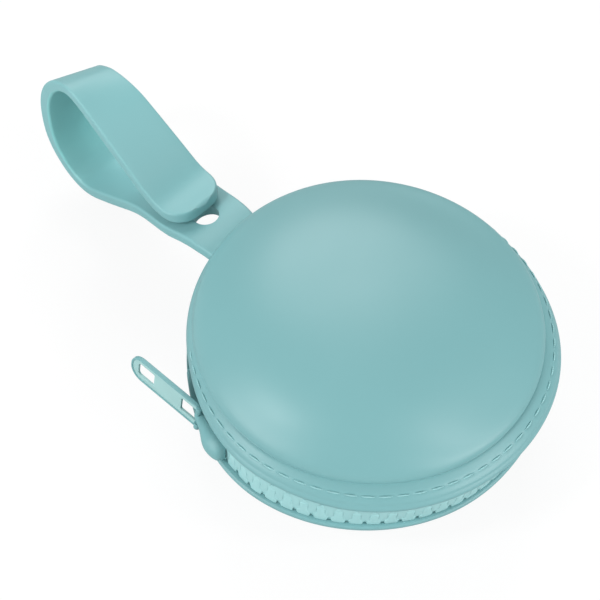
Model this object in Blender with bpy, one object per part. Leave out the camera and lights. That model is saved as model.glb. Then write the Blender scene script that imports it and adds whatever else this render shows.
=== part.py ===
"""A round zipped pacifier case with a looped carrying strap.

Blender 4.5 script. Metres, +Z up. The origin is the centre of the flat spot that the case
rests on. The hinge and the strap are at the back (+Y), the zip opens at the front (-Y).
"""

import math

import bmesh
import bpy
import numpy as np
from mathutils import Matrix, Vector

MM = 0.001
CLEARANCE = 0.3 * MM

# Driving dimensions of the case
RIM_RADIUS = 45.0 * MM
HINGE_RADIUS = 42.4 * MM
FLANGE_WIDTH = 3.8 * MM
HINGE_SHOULDER = 1.4 * MM
FLANGE_HEIGHT = 5.4 * MM
DOME_RISE = 13.8 * MM
BASE_FLAT_RADIUS = 17.0 * MM
WALL = 2.2 * MM
RIM_FACE = 2.0 * MM
RIM_EDGE_ROUND = 0.2 * MM
FLANGE_INSIDE_LEAN = 1.6 * MM
LINING = 0.8 * MM
LINING_EDGE_DROP = 0.9 * MM
ZIP_GAP = 8.0 * MM
DOME_STEPS = 8
CASE_SEGMENTS = 56
LINING_SEGMENTS = 36
TAPE_STEPS = 44
STRIP_STEPS = 24
PIN_SEGMENTS = 12
ROUND_SEGMENTS = 20
HOLE_SEGMENTS = 24
SLIDER_SAMPLES = 9
THREAD_STEPS = 52

# Angles round the case, in degrees from +X: the strap is at 90, the front at 270
FRONT_ANGLE = 270.0
HINGE_HALF_ANGLE = 50.0
LEFT_TAPER_ANGLE = 50.0
RIGHT_TAPER_ANGLE = 110.0
SLIDER_PARK_ANGLE = 169.1
STRIP_END_ANGLE = 1.0
TAPE_END_ANGLE = 1.5
THREAD_END_ANGLE = 2.0
FIRST_TOOTH_ANGLE = 1.0
LAST_TOOTH_ANGLE = 8.0
TOP_STOP_ANGLE = 3.0
BOTTOM_STOP_ANGLE = 2.6

# The flange's outer face from the rim to the crease: shares of its width, shares of its height
FLANGE_SHAPE = [(0.0, 0.2), (0.14, 0.46), (0.45, 0.73), (0.92, 0.93)]
FLANGE_INSIDE_SHAPE = [0.1, 0.67]

# How the soft lid has settled, in mm: the power of the share of the way out from the axis,
# the waves round the lid, the cosine part and the sine part
LID_SETTLING = [
    (0, 0, -1.40, 0.0), (2, 0, -1.31, 0.0), (4, 0, 2.89, 0.0), (6, 0, -11.79, 0.0),
    (1, 1, -3.80, -0.86), (3, 1, 1.05, 2.23), (5, 1, -6.54, -1.13),
    (2, 2, 0.20, 0.47), (4, 2, 0.29, -0.37), (6, 2, 0.29, -1.19),
    (3, 3, 0.04, -0.96), (5, 3, -0.42, -1.39),
    (4, 4, -1.09, -0.33), (6, 4, -1.34, -0.53),
]

# The zip
TAPE_THICKNESS = 0.4 * MM
TAPE_SETBACK = 2.3 * MM
TAPE_EDGE = 1.4 * MM
TAPE_SEAM_HEIGHT = 3.6 * MM
TAPE_LEAN = 1.7 * MM
CHAIN_WIDTH = 6.6 * MM
TOOTH_PITCH = 4.0 * MM
TOOTH_SETBACK = 0.8 * MM
TOOTH_THICKNESS = 1.2 * MM
TOOTH_BASE_WIDTH = 3.0 * MM
TOOTH_HEAD_WIDTH = 1.55 * MM
TOOTH_BEAD = 0.9 * MM
TOOTH_LOBE = 0.9 * MM
STOP_LENGTH = 1.6 * MM
STOP_HEIGHT = 1.8 * MM
STOP_THICKNESS = 1.2 * MM
BOTTOM_STOP_LENGTH = 2.56 * MM
BOTTOM_STOP_HEIGHT = 5.6 * MM

# The slider and its puller
SLIDER_LENGTH = 9.0 * MM
SLIDER_PLATE = 0.8 * MM
SLIDER_OUTER_LIFT = 0.69 * MM
SLIDER_INNER_LIFT = 0.94 * MM
SLIDER_INNER_LENGTH = 8.0 * MM
SLIDER_SIDE_GAP = 0.4 * MM
SLIDER_BEVEL = 0.25 * MM
SLIDER_POST_LENGTH = 3.4 * MM
SLIDER_POST_HEIGHT = 2.0 * MM
CAP_LENGTH = 8.6 * MM
CAP_HEIGHT = 6.4 * MM
CAP_RISE = 1.0 * MM
LUG_WIDTH = 3.0 * MM
LUG_OVERLAP = 1.4 * MM
PIN_RADIUS = 0.5 * MM
PIN_GAP = 0.3 * MM
PIN_SINK = 0.7 * MM
PIN_REACH = 2.2 * MM
EYE_RADIUS = 1.1 * MM
PULLER_LENGTH = 20.9 * MM
PULLER_WIDTH = 7.4 * MM
PULLER_THICKNESS = 1.3 * MM
PULLER_RECESS = 0.25 * MM
PULLER_WINDOW_LENGTH = 5.6 * MM
PULLER_WINDOW_WIDTH = 3.6 * MM
PULLER_NEAR_WINDOW_END = 3.3 * MM
PULLER_END_BAR = 2.9 * MM
PIN_END_INSET = 0.3 * MM
PULLER_RIM = 1.05 * MM
PULLER_END_ROUND = 3.1 * MM
PULLER_REST_ANGLE = 12.0

# The hinge strip and the strap
HINGE_STRIP_THICKNESS = 0.9 * MM
STRAP_THICKNESS = 3.2 * MM
STRAP_WIDTH = 16.0 * MM
STRAP_HOLE_RADIUS = 2.9 * MM
STRAP_EDGE_ROUND = 0.7 * MM
STRAP_TIP_LENGTH = 7.6 * MM
STRAP_LEAN = 2.5 * MM
STRAP_LEAN_START = 39.6 * MM
STRAP_LEAN_END = 54.6 * MM
STRAP_SLOT_GAP = 0.35 * MM
ANCHOR_WIDTH = 20.0 * MM
ANCHOR_HEIGHT = 5.6 * MM
ANCHOR_THICKNESS = 1.0 * MM
BUTTON_PLACE = 18.2 * MM
SPARE_HOLE_PLACE = 10.2 * MM
BUTTON_TOP_GAP = 0.42 * MM
BUTTON_UNDER_GAP = 0.45 * MM
BUTTON_NECK_RADIUS = 2.2 * MM
BUTTON_HEAD_RADIUS = 3.9 * MM
BUTTON_HEAD_HEIGHT = 1.4 * MM
BUTTON_HEAD_ROUND = 0.4 * MM
BUTTON_HEAD_CROWN = 0.55 * MM

# The stitching thread
THREAD_RADIUS = 0.3 * MM

# Radii and levels worked out from the sizes above
CREASE_RADIUS = RIM_RADIUS - FLANGE_WIDTH
HINGE_CREASE_RADIUS = HINGE_RADIUS - HINGE_SHOULDER
BASE_DOME_HEIGHT = DOME_RISE * math.sqrt(1 - (BASE_FLAT_RADIUS / CREASE_RADIUS) ** 2)
LOWER_RIM_Z = BASE_DOME_HEIGHT + FLANGE_HEIGHT
MID_Z = LOWER_RIM_Z + ZIP_GAP / 2
UPPER_RIM_Z = LOWER_RIM_Z + ZIP_GAP
STRAP_TOP_Z = MID_Z + STRAP_THICKNESS / 2
HINGE_AXIS_Z = STRAP_TOP_Z + CLEARANCE
SLIDER_HALF_HEIGHT = ZIP_GAP / 2 - SLIDER_SIDE_GAP

# The strap's centre line in mm: distance beyond the hinge, height over the zip's middle
STRAP_LOWER_ROUTE = [
    (-3.5, 0.0), (0.6, 0.0), (4.1, 0.1), (7.6, -0.3), (11.1, -1.2), (14.8, -2.5),
    (18.6, -3.6), (22.1, -4.3), (25.6, -5.2), (29.6, -7.1), (35.1, -10.7), (40.1, -13.8),
    (44.8, -16.2), (48.6, -16.9), (52.2, -15.8), (55.2, -13.3), (57.8, -9.8), (59.5, -5.3),
    (60.2, 0.5),
]
STRAP_UPPER_ROUTE = [
    (60.2, 0.5), (60.1, 5.5), (59.2, 9.9), (57.5, 13.7), (54.9, 16.8), (51.4, 18.2),
    (47.8, 17.6), (44.1, 16.0), (39.6, 13.6), (34.6, 10.6), (29.1, 7.2), (24.6, 4.4),
    (20.6, 2.6), (16.6, 2.3), (11.0, 3.5),
]

# Extra half width in mm at distances beyond the hinge: the distances, the +X side, the -X side
STRAP_LOWER_EXTRA = (
    [1.2, 5.6, 11.6, 15.6, 18.6, 25.6, 33.6, 43.6, 51.6, 60.6],
    [0.0, 0.6, 1.1, 1.6, 1.4, 0.5, -0.2, -0.6, -1.0, -1.05],
    [0.0, 0.4, 0.55, 0.75, 0.6, 0.2, -0.2, -0.6, -1.0, -1.05],
)
STRAP_UPPER_EXTRA = (
    [10.6, 25.6, 43.6, 51.6, 60.6],
    [0.2, 0.15, -0.6, -1.0, -1.05],
    [0.2, 0.15, -0.6, -1.0, -1.05],
)
STRAP_TIP_POWER = 2.4
STRAP_TIP_REACH = 0.97
STRAP_EDGE_SHARE = 0.4
ROUTE_STEPS = 3

# The cap's rings: share of its outline, share of its rise
CAP_RINGS = [(1.0, 0.0), (0.97, 0.35), (0.82, 0.72), (0.5, 0.94)]
CAP_NARROWING = 0.12
CAP_SIDE_SHARE = 0.95
CAP_STEPS = 20


def clear_scene():
    """Removes whatever the file opened with."""
    for obj in list(bpy.data.objects):
        bpy.data.objects.remove(obj, do_unlink=True)


def make_material(name, color, roughness, metallic=0.0):
    material = bpy.data.materials.new(name)
    material.use_nodes = True
    shader = material.node_tree.nodes["Principled BSDF"]
    shader.inputs["Base Color"].default_value = (*color, 1.0)
    shader.inputs["Roughness"].default_value = roughness
    shader.inputs["Metallic"].default_value = metallic
    material.diffuse_color = (*color, 1.0)
    return material


def add_object(name, bm, material, parent=None, smooth=True):
    """Turns a bmesh into a named object with outward normals."""
    bmesh.ops.remove_doubles(bm, verts=bm.verts, dist=1e-7)
    bmesh.ops.recalc_face_normals(bm, faces=bm.faces)
    mesh = bpy.data.meshes.new(name)
    bm.to_mesh(mesh)
    bm.free()
    mesh.materials.append(material)
    obj = bpy.data.objects.new(name, mesh)
    bpy.context.scene.collection.objects.link(obj)
    if smooth:
        mesh.shade_smooth()
        mesh.set_sharp_from_angle(angle=math.radians(35))
    if parent is not None:
        obj.parent = parent
    return obj


def add_empty(name, location, rotation=(0.0, 0.0, 0.0), parent=None):
    empty = bpy.data.objects.new(name, None)
    empty.empty_display_size = 5 * MM
    empty.location = location
    empty.rotation_euler = rotation
    bpy.context.scene.collection.objects.link(empty)
    if parent is not None:
        empty.parent = parent
    return empty


def apply_boolean(obj, cutter, operation):
    """Adds an exact Boolean with a helper object that stays out of renders."""
    cutter.hide_render = True
    cutter.display_type = "WIRE"
    modifier = obj.modifiers.new(f"{operation.title()} {cutter.name}", "BOOLEAN")
    modifier.object = cutter
    modifier.operation = operation
    modifier.solver = "EXACT"


def flange_share(angle):
    """How far the flange stands out at an angle: 1 round the front, 0 in the hinge zone."""
    turn = (angle - FRONT_ANGLE + 180.0) % 360.0 - 180.0
    taper = RIGHT_TAPER_ANGLE if turn > 0 else LEFT_TAPER_ANGLE
    reach = (180.0 - HINGE_HALF_ANGLE - abs(turn)) / taper
    reach = min(max(reach, 0.0), 1.0)
    return reach * reach * (3.0 - 2.0 * reach)


def rim_radius(angle):
    return HINGE_RADIUS + (RIM_RADIUS - HINGE_RADIUS) * flange_share(angle)


def dome_radius(angle):
    share = flange_share(angle)
    return HINGE_CREASE_RADIUS + (CREASE_RADIUS - HINGE_CREASE_RADIUS) * share


def flange_profile(angle):
    """Outer points from the rim's edge up to the crease, as (radius, height over the edge)."""
    rim = rim_radius(angle)
    crease = dome_radius(angle)
    shoulder = rim - crease
    points = [(rim - RIM_EDGE_ROUND, 0.0)]
    for inwards, upwards in FLANGE_SHAPE:
        points.append((rim - inwards * shoulder, upwards * FLANGE_HEIGHT))
    return points


def lid_settling(way_out, angle):
    """How much higher the soft lid lies than a true ellipse; it fades out at the crease."""
    height = 0.0
    for power, waves, along, across in LID_SETTLING:
        turn = waves * math.radians(angle)
        height += way_out**power * (along * math.cos(turn) + across * math.sin(turn))
    return height * (1.0 - way_out**2) * MM


def dome_profile(radius, rise, steps, angle=None, flat_radius=0.0):
    """A quarter ellipse from the crease inwards, ending on the axis or at a flat's edge.

    With an angle given it is the lid's section there, and carries the lid's settling.
    """
    last = math.acos(flat_radius / radius) if flat_radius else math.pi / 2
    points = []
    for k in range(steps + 1):
        a = last * k / steps
        height = FLANGE_HEIGHT + rise * math.sin(a)
        if angle is not None:
            height += lid_settling(math.cos(a), angle)
        points.append((radius * math.cos(a), height))
    return points


def shell_profile(angle, flat):
    """Half section of a shell, from the outer apex over the rim to the inner apex."""
    crease = dome_radius(angle)
    share = flange_share(angle)
    rim = rim_radius(angle)
    if flat:
        depth = BASE_DOME_HEIGHT
        lid_angle = None
        outer = dome_profile(crease, DOME_RISE, DOME_STEPS, None, BASE_FLAT_RADIUS)
        outer[-1] = (BASE_FLAT_RADIUS, FLANGE_HEIGHT + depth)
    else:
        depth = DOME_RISE
        lid_angle = angle
        outer = dome_profile(crease, DOME_RISE, DOME_STEPS, lid_angle)
        apex = outer.pop()[1]
    inner = dome_profile(crease - WALL, depth - WALL, DOME_STEPS, lid_angle)
    inner_apex = inner.pop()[1]
    flange_inside = [
        (rim - RIM_FACE, 0.0),
        (rim - RIM_FACE, FLANGE_INSIDE_SHAPE[0] * FLANGE_HEIGHT),
        (rim - RIM_FACE - FLANGE_INSIDE_LEAN * share, FLANGE_INSIDE_SHAPE[1] * FLANGE_HEIGHT),
    ]
    section = [(0.0, FLANGE_HEIGHT + depth if flat else apex)]
    section += outer[::-1]
    section += flange_profile(angle)[::-1]
    section += flange_inside
    section += inner
    section += [(0.0, inner_apex)]
    return section


def lining_profile(angle, flat):
    """Half section of a lining, CLEARANCE inside its shell."""
    outer_radius = dome_radius(angle) - WALL - CLEARANCE
    depth = BASE_DOME_HEIGHT if flat else DOME_RISE
    outer_rise = depth - WALL - CLEARANCE
    lid_angle = None if flat else angle
    outer = dome_profile(outer_radius, outer_rise, DOME_STEPS, lid_angle)
    inner = dome_profile(outer_radius - LINING, outer_rise - LINING, DOME_STEPS, lid_angle)
    outer_apex = outer.pop()[1]
    inner_apex = inner.pop()[1]
    edge = FLANGE_HEIGHT - LINING_EDGE_DROP
    section = [(0.0, outer_apex)]
    section += outer[::-1]
    section += [(outer_radius, edge), (outer_radius - LINING, edge)]
    section += inner
    section += [(0.0, inner_apex)]
    return section


def turned_shell(name, profile, flat, edge_z, direction, segments, material, parent):
    """Turns a half section that may change with the angle into one closed shell."""
    bm = bmesh.new()
    rings = []
    for k in range(segments):
        angle = 360.0 * k / segments
        radians = math.radians(angle)
        section = profile(angle, flat)
        ring = []
        for radius, height in section[1:-1]:
            z = edge_z + direction * height
            ring.append(bm.verts.new((radius * math.cos(radians), radius * math.sin(radians), z)))
        rings.append(ring)
    section = profile(0.0, flat)
    first_tip = bm.verts.new((0.0, 0.0, edge_z + direction * section[0][1]))
    last_tip = bm.verts.new((0.0, 0.0, edge_z + direction * section[-1][1]))
    for k in range(segments):
        here = rings[k]
        after = rings[(k + 1) % segments]
        bm.faces.new((first_tip, here[0], after[0]))
        bm.faces.new((last_tip, after[-1], here[-1]))
        for i in range(len(here) - 1):
            bm.faces.new((here[i], here[i + 1], after[i + 1], after[i]))
    return add_object(name, bm, material, parent)


def swept_band(name, profile, start, end, steps, edge_z, direction, material, parent, smooth=True):
    """Sweeps a closed section, given as (radius, height) for each angle, along an arc."""
    bm = bmesh.new()
    rings = []
    for k in range(steps + 1):
        angle = start + (end - start) * k / steps
        radians = math.radians(angle)
        ring = []
        for radius, height in profile(angle):
            z = edge_z + direction * height
            ring.append(bm.verts.new((radius * math.cos(radians), radius * math.sin(radians), z)))
        rings.append(ring)
    count = len(rings[0])
    for here, after in zip(rings[:-1], rings[1:]):
        for i in range(count):
            j = (i + 1) % count
            bm.faces.new((here[i], here[j], after[j], after[i]))
    bm.faces.new(rings[0])
    bm.faces.new(rings[-1][::-1])
    return add_object(name, bm, material, parent, smooth)


def tape_profile(angle):
    """The tape hangs straight behind the teeth and follows the flange's inside above."""
    outer = rim_radius(angle) - TAPE_SETBACK
    top = outer - TAPE_LEAN * flange_share(angle)
    low = TAPE_EDGE - ZIP_GAP / 2
    bend = FLANGE_INSIDE_SHAPE[0] * FLANGE_HEIGHT
    return [
        (outer, low),
        (outer, bend),
        (top, TAPE_SEAM_HEIGHT),
        (top - TAPE_THICKNESS, TAPE_SEAM_HEIGHT),
        (outer - TAPE_THICKNESS, bend),
        (outer - TAPE_THICKNESS, low),
    ]


def thread_profile(angle):
    """A four-sided thread lying just over the flange's ledge, square to its slope."""
    points = flange_profile(angle)
    radius, height = points[3]
    along = Vector((points[4][0] - points[2][0], points[4][1] - points[2][1])).normalized()
    lift = THREAD_RADIUS + CLEARANCE
    radius += along.y * lift
    height -= along.x * lift
    return [
        (radius + THREAD_RADIUS, height),
        (radius, height + THREAD_RADIUS),
        (radius - THREAD_RADIUS, height),
        (radius, height - THREAD_RADIUS),
    ]


def tooth_row(name, start, end, offset, direction, material, parent):
    """One row of teeth on its bead, as cells of a grid laid along the rim.

    Each pitch has a wide lobe towards the tape, a continuous bead and a narrow head that
    crosses the middle of the zip between two heads of the other row.
    """
    pitch_angle = math.degrees(TOOTH_PITCH / (RIM_RADIUS - TOOTH_SETBACK))
    count = int((end - start) / pitch_angle)
    base = TOOTH_BASE_WIDTH / TOOTH_PITCH / 2
    head = TOOTH_HEAD_WIDTH / TOOTH_PITCH / 2
    breaks = []
    kinds = []
    for tooth in range(count):
        centre = start + (tooth + 0.5 + offset) * pitch_angle
        for share in (-base, -head, head):
            breaks.append(centre + share * pitch_angle)
            kinds.append("head" if share == -head else "lobe")
        breaks.append(centre + base * pitch_angle)
        kinds.append("gap")
    outer_end = CHAIN_WIDTH / 2
    bead_low = outer_end - TOOTH_LOBE - TOOTH_BEAD
    head_tip = CLEARANCE - bead_low
    levels = [outer_end, outer_end - TOOTH_LOBE, bead_low, head_tip]
    columns = len(breaks) - 1
    filled = np.zeros((columns, 3), bool)
    for column in range(columns):
        filled[column] = (kinds[column] != "gap", True, kinds[column] == "head")
    bm = bmesh.new()
    grid = {}

    def corner(i, j, side):
        key = (i, j, side)
        if key not in grid:
            radius = rim_radius(breaks[i]) - TOOTH_SETBACK - side * TOOTH_THICKNESS
            radians = math.radians(breaks[i])
            x = radius * math.cos(radians)
            y = radius * math.sin(radians)
            grid[key] = bm.verts.new((x, y, MID_Z + direction * levels[j]))
        return grid[key]

    def is_filled(i, j):
        return 0 <= i < columns and 0 <= j < 3 and filled[i, j]

    for i in range(columns):
        for j in range(3):
            if not filled[i, j]:
                continue
            for side in (0, 1):
                cell = [(i, j), (i + 1, j), (i + 1, j + 1), (i, j + 1)]
                bm.faces.new([corner(a, b, side) for a, b in cell])
            walls = [
                ((i - 1, j), (i, j), (i, j + 1)),
                ((i + 1, j), (i + 1, j), (i + 1, j + 1)),
                ((i, j - 1), (i, j), (i + 1, j)),
                ((i, j + 1), (i, j + 1), (i + 1, j + 1)),
            ]
            for neighbour, first, second in walls:
                if is_filled(*neighbour):
                    continue
                quad = [corner(*first, 0), corner(*second, 0)]
                quad += [corner(*second, 1), corner(*first, 1)]
                bm.faces.new(quad)
    return add_object(name, bm, material, parent, smooth=False)


def block(name, low, high, material, parent=None, bevel=0.0):
    """A box between two corners, with its edges bevelled where a bevel is given."""
    bm = bmesh.new()
    size = Vector(high) - Vector(low)
    middle = (Vector(high) + Vector(low)) / 2
    matrix = Matrix.Translation(middle) @ Matrix.Diagonal((*size, 1.0))
    bmesh.ops.create_cube(bm, size=1.0, matrix=matrix)
    if bevel:
        bmesh.ops.bevel(
            bm, geom=list(bm.edges), offset=bevel, segments=2, profile=0.5, affect="EDGES"
        )
    return add_object(name, bm, material, parent)


def cylinder(
    name, centre, axis, radius, length, material, parent=None, segments=ROUND_SEGMENTS
):
    """A cylinder along an axis, centred on a point."""
    bm = bmesh.new()
    turn = Vector((0.0, 0.0, 1.0)).rotation_difference(Vector(axis)).to_matrix().to_4x4()
    bmesh.ops.create_cone(
        bm,
        cap_ends=True,
        segments=segments,
        radius1=radius,
        radius2=radius,
        depth=length,
        matrix=Matrix.Translation(centre) @ turn,
    )
    return add_object(name, bm, material, parent)


def smooth_route(points, steps):
    """A Catmull-Rom curve through the points, which start from the hinge's radius."""
    route = np.array(points, float) * MM + (HINGE_RADIUS, 0.0)
    padded = np.vstack([2 * route[0] - route[1], route, 2 * route[-1] - route[-2]])
    samples = []
    for k in range(len(route) - 1):
        a, b, c, d = padded[k : k + 4]
        for t in np.arange(steps) / steps:
            samples.append(
                0.5
                * (
                    2 * b
                    + (c - a) * t
                    + (2 * a - 5 * b + 4 * c - d) * t**2
                    + (3 * b - a - 3 * c + d) * t**3
                )
            )
    samples.append(route[-1])
    return np.array(samples)


def strap_half(distance, upper, side):
    """Half width on the +X or -X side: widest round the holes, slimmest at the loop's bend."""
    places, plus, minus = STRAP_UPPER_EXTRA if upper else STRAP_LOWER_EXTRA
    beyond = (distance - HINGE_RADIUS) / MM
    extra = np.interp(beyond, places, plus if side > 0 else minus)
    return STRAP_WIDTH / 2 + float(extra) * MM


def strap_lean(distance, across):
    """How far a point moves into the loop: the bend is tighter on its +X side."""
    beyond = distance - HINGE_RADIUS
    reach = (beyond - STRAP_LEAN_START) / (STRAP_LEAN_END - STRAP_LEAN_START)
    reach = min(max(reach, 0.0), 1.0)
    share = reach * reach * (3.0 - 2.0 * reach)
    return STRAP_LEAN * (2 * across / STRAP_WIDTH + 0.5) * share


def strap_solid(name, route, upper, material, parent):
    """Sweeps a flat section with rounded edges along a route in the plane x = 0.

    The two runs meet on a level plane, so the end there is square to the vertical.
    """
    tangents = np.gradient(route, axis=0)
    tangents /= np.linalg.norm(tangents, axis=1)[:, None]
    tangents[0 if upper else -1] = (0.0, 1.0)
    lengths = np.concatenate([[0.0], np.cumsum(np.linalg.norm(np.diff(route, axis=0), axis=1))])
    half_thick = STRAP_THICKNESS / 2
    bm = bmesh.new()
    rings = []
    for point, tangent, length in zip(route, tangents, lengths):
        normal = np.array([-tangent[1], tangent[0]])
        left = strap_half(point[0], upper, -1)
        right = strap_half(point[0], upper, 1)
        to_end = lengths[-1] - length
        if upper and to_end < STRAP_TIP_LENGTH:
            reach = min(1.0 - to_end / STRAP_TIP_LENGTH, STRAP_TIP_REACH)
            narrowing = (1.0 - reach**STRAP_TIP_POWER) ** (1 / STRAP_TIP_POWER)
            left *= narrowing
            right *= narrowing
        edge = min(STRAP_EDGE_ROUND, STRAP_EDGE_SHARE * left)
        section = [
            (-left, -half_thick + edge),
            (-left + edge, -half_thick),
            (right - edge, -half_thick),
            (right, -half_thick + edge),
            (right, half_thick - edge),
            (right - edge, half_thick),
            (-left + edge, half_thick),
            (-left, half_thick - edge),
        ]
        ring = []
        for across, through in section:
            y, z = point + normal * (through + strap_lean(point[0], across))
            ring.append(bm.verts.new((across, y, MID_Z + z)))
        rings.append(ring)
    count = len(rings[0])
    for here, after in zip(rings[:-1], rings[1:]):
        for i in range(count):
            j = (i + 1) % count
            bm.faces.new((here[i], here[j], after[j], after[i]))
    bm.faces.new(rings[0])
    bm.faces.new(rings[-1][::-1])
    return add_object(name, bm, material, parent)


def route_frame(route, distance):
    """The lower run's point at a distance from the axis, and its slope there in radians."""
    reach = STRAP_HOLE_RADIUS / 2
    before, here, after = np.interp(
        [distance - reach, distance, distance + reach], route[:, 0], route[:, 1]
    )
    return (distance, float(here)), math.atan2(after - before, 2 * reach)


def turned_solid(name, profile, segments, material, parent=None):
    """Turns (radius, height) points into a closed solid about the local Z axis."""
    bm = bmesh.new()
    rings = []
    for k in range(segments):
        radians = 2 * math.pi * k / segments
        ring = []
        for radius, height in profile[1:-1]:
            ring.append(bm.verts.new((radius * math.cos(radians), radius * math.sin(radians), height)))
        rings.append(ring)
    first_tip = bm.verts.new((0.0, 0.0, profile[0][1]))
    last_tip = bm.verts.new((0.0, 0.0, profile[-1][1]))
    for k in range(segments):
        here = rings[k]
        after = rings[(k + 1) % segments]
        bm.faces.new((first_tip, here[0], after[0]))
        bm.faces.new((last_tip, after[-1], here[-1]))
        for i in range(len(here) - 1):
            bm.faces.new((here[i], here[i + 1], after[i + 1], after[i]))
    return add_object(name, bm, material, parent)


def lid_offset(obj):
    """Keeps a lid piece where its mesh says while its origin moves to the hinge's axis."""
    obj.data.transform(Matrix.Translation((0.0, -HINGE_RADIUS, -HINGE_AXIS_Z)))


def slider_faces():
    """The slider's plates clear the teeth and the tape under its whole length."""
    half = math.degrees(SLIDER_LENGTH / 2 / RIM_RADIUS)
    teeth = []
    tape = []
    for turn in np.linspace(-half, half, SLIDER_SAMPLES):
        rim = rim_radius(SLIDER_PARK_ANGLE + turn)
        ahead = math.cos(math.radians(turn))
        teeth.append((rim - TOOTH_SETBACK) * ahead)
        tape.append((rim - TAPE_SETBACK - TAPE_THICKNESS) * ahead)
    return max(teeth) + SLIDER_OUTER_LIFT, min(tape) - SLIDER_INNER_LIFT


def build_case(shell_skin, lining_cloth, thread, lid_axis):
    upper = turned_shell(
        "upper_shell", shell_profile, False, UPPER_RIM_Z, 1, CASE_SEGMENTS, shell_skin, lid_axis
    )
    turned_shell(
        "lower_shell", shell_profile, True, LOWER_RIM_Z, -1, CASE_SEGMENTS, shell_skin, None
    )
    upper_lining = turned_shell(
        "upper_lining", lining_profile, False, UPPER_RIM_Z, 1, LINING_SEGMENTS, lining_cloth, lid_axis
    )
    turned_shell(
        "lower_lining", lining_profile, True, LOWER_RIM_Z, -1, LINING_SEGMENTS, lining_cloth, None
    )
    start = 90.0 + HINGE_HALF_ANGLE + THREAD_END_ANGLE
    end = 450.0 - HINGE_HALF_ANGLE - THREAD_END_ANGLE
    upper_thread = swept_band(
        "upper_seam_thread", thread_profile, start, end, THREAD_STEPS, UPPER_RIM_Z, 1, thread,
        lid_axis,
    )
    swept_band(
        "lower_seam_thread", thread_profile, start, end, THREAD_STEPS, LOWER_RIM_Z, -1, thread,
        None,
    )
    for piece in (upper, upper_lining, upper_thread):
        lid_offset(piece)


def build_zip(tape, plastic, lid_axis):
    start = 90.0 + HINGE_HALF_ANGLE + TAPE_END_ANGLE
    end = 450.0 - HINGE_HALF_ANGLE - TAPE_END_ANGLE
    upper_tape = swept_band(
        "upper_zip_tape", tape_profile, start, end, TAPE_STEPS, UPPER_RIM_Z, 1, tape, lid_axis
    )
    swept_band(
        "lower_zip_tape", tape_profile, start, end, TAPE_STEPS, LOWER_RIM_Z, -1, tape, None
    )
    first = SLIDER_PARK_ANGLE + FIRST_TOOTH_ANGLE
    last = 540.0 - SLIDER_PARK_ANGLE + LAST_TOOTH_ANGLE
    upper_teeth = tooth_row("upper_zip_teeth", first, last, 0.5, 1, plastic, lid_axis)
    tooth_row("lower_zip_teeth", first, last, 0.0, -1, plastic, None)
    half_length = math.degrees(SLIDER_LENGTH / 2 / RIM_RADIUS)
    stop_angle = SLIDER_PARK_ANGLE - half_length - TOP_STOP_ANGLE
    stop_arc = math.degrees(STOP_LENGTH / RIM_RADIUS)

    def stop_profile(low, high):
        def profile(angle):
            outer = rim_radius(angle) - TAPE_SETBACK + CLEARANCE + STOP_THICKNESS
            inner = outer - STOP_THICKNESS
            return [(outer, low), (outer, high), (inner, high), (inner, low)]

        return profile

    low = TAPE_EDGE - ZIP_GAP / 2
    high = low + STOP_HEIGHT
    upper_stop = swept_band(
        "upper_top_stop", stop_profile(low, high), stop_angle - stop_arc, stop_angle, 2,
        UPPER_RIM_Z, 1, plastic, lid_axis, False,
    )
    swept_band(
        "lower_top_stop", stop_profile(low, high), stop_angle - stop_arc, stop_angle, 2,
        LOWER_RIM_Z, -1, plastic, None, False,
    )
    bottom_angle = 540.0 - stop_angle + BOTTOM_STOP_ANGLE
    bottom_arc = math.degrees(BOTTOM_STOP_LENGTH / RIM_RADIUS)
    span = BOTTOM_STOP_HEIGHT / 2
    swept_band(
        "bottom_stop", stop_profile(-span, span), bottom_angle, bottom_angle + bottom_arc, 2,
        MID_Z, 1, plastic, None, False,
    )
    for piece in (upper_tape, upper_teeth, upper_stop):
        lid_offset(piece)


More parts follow.
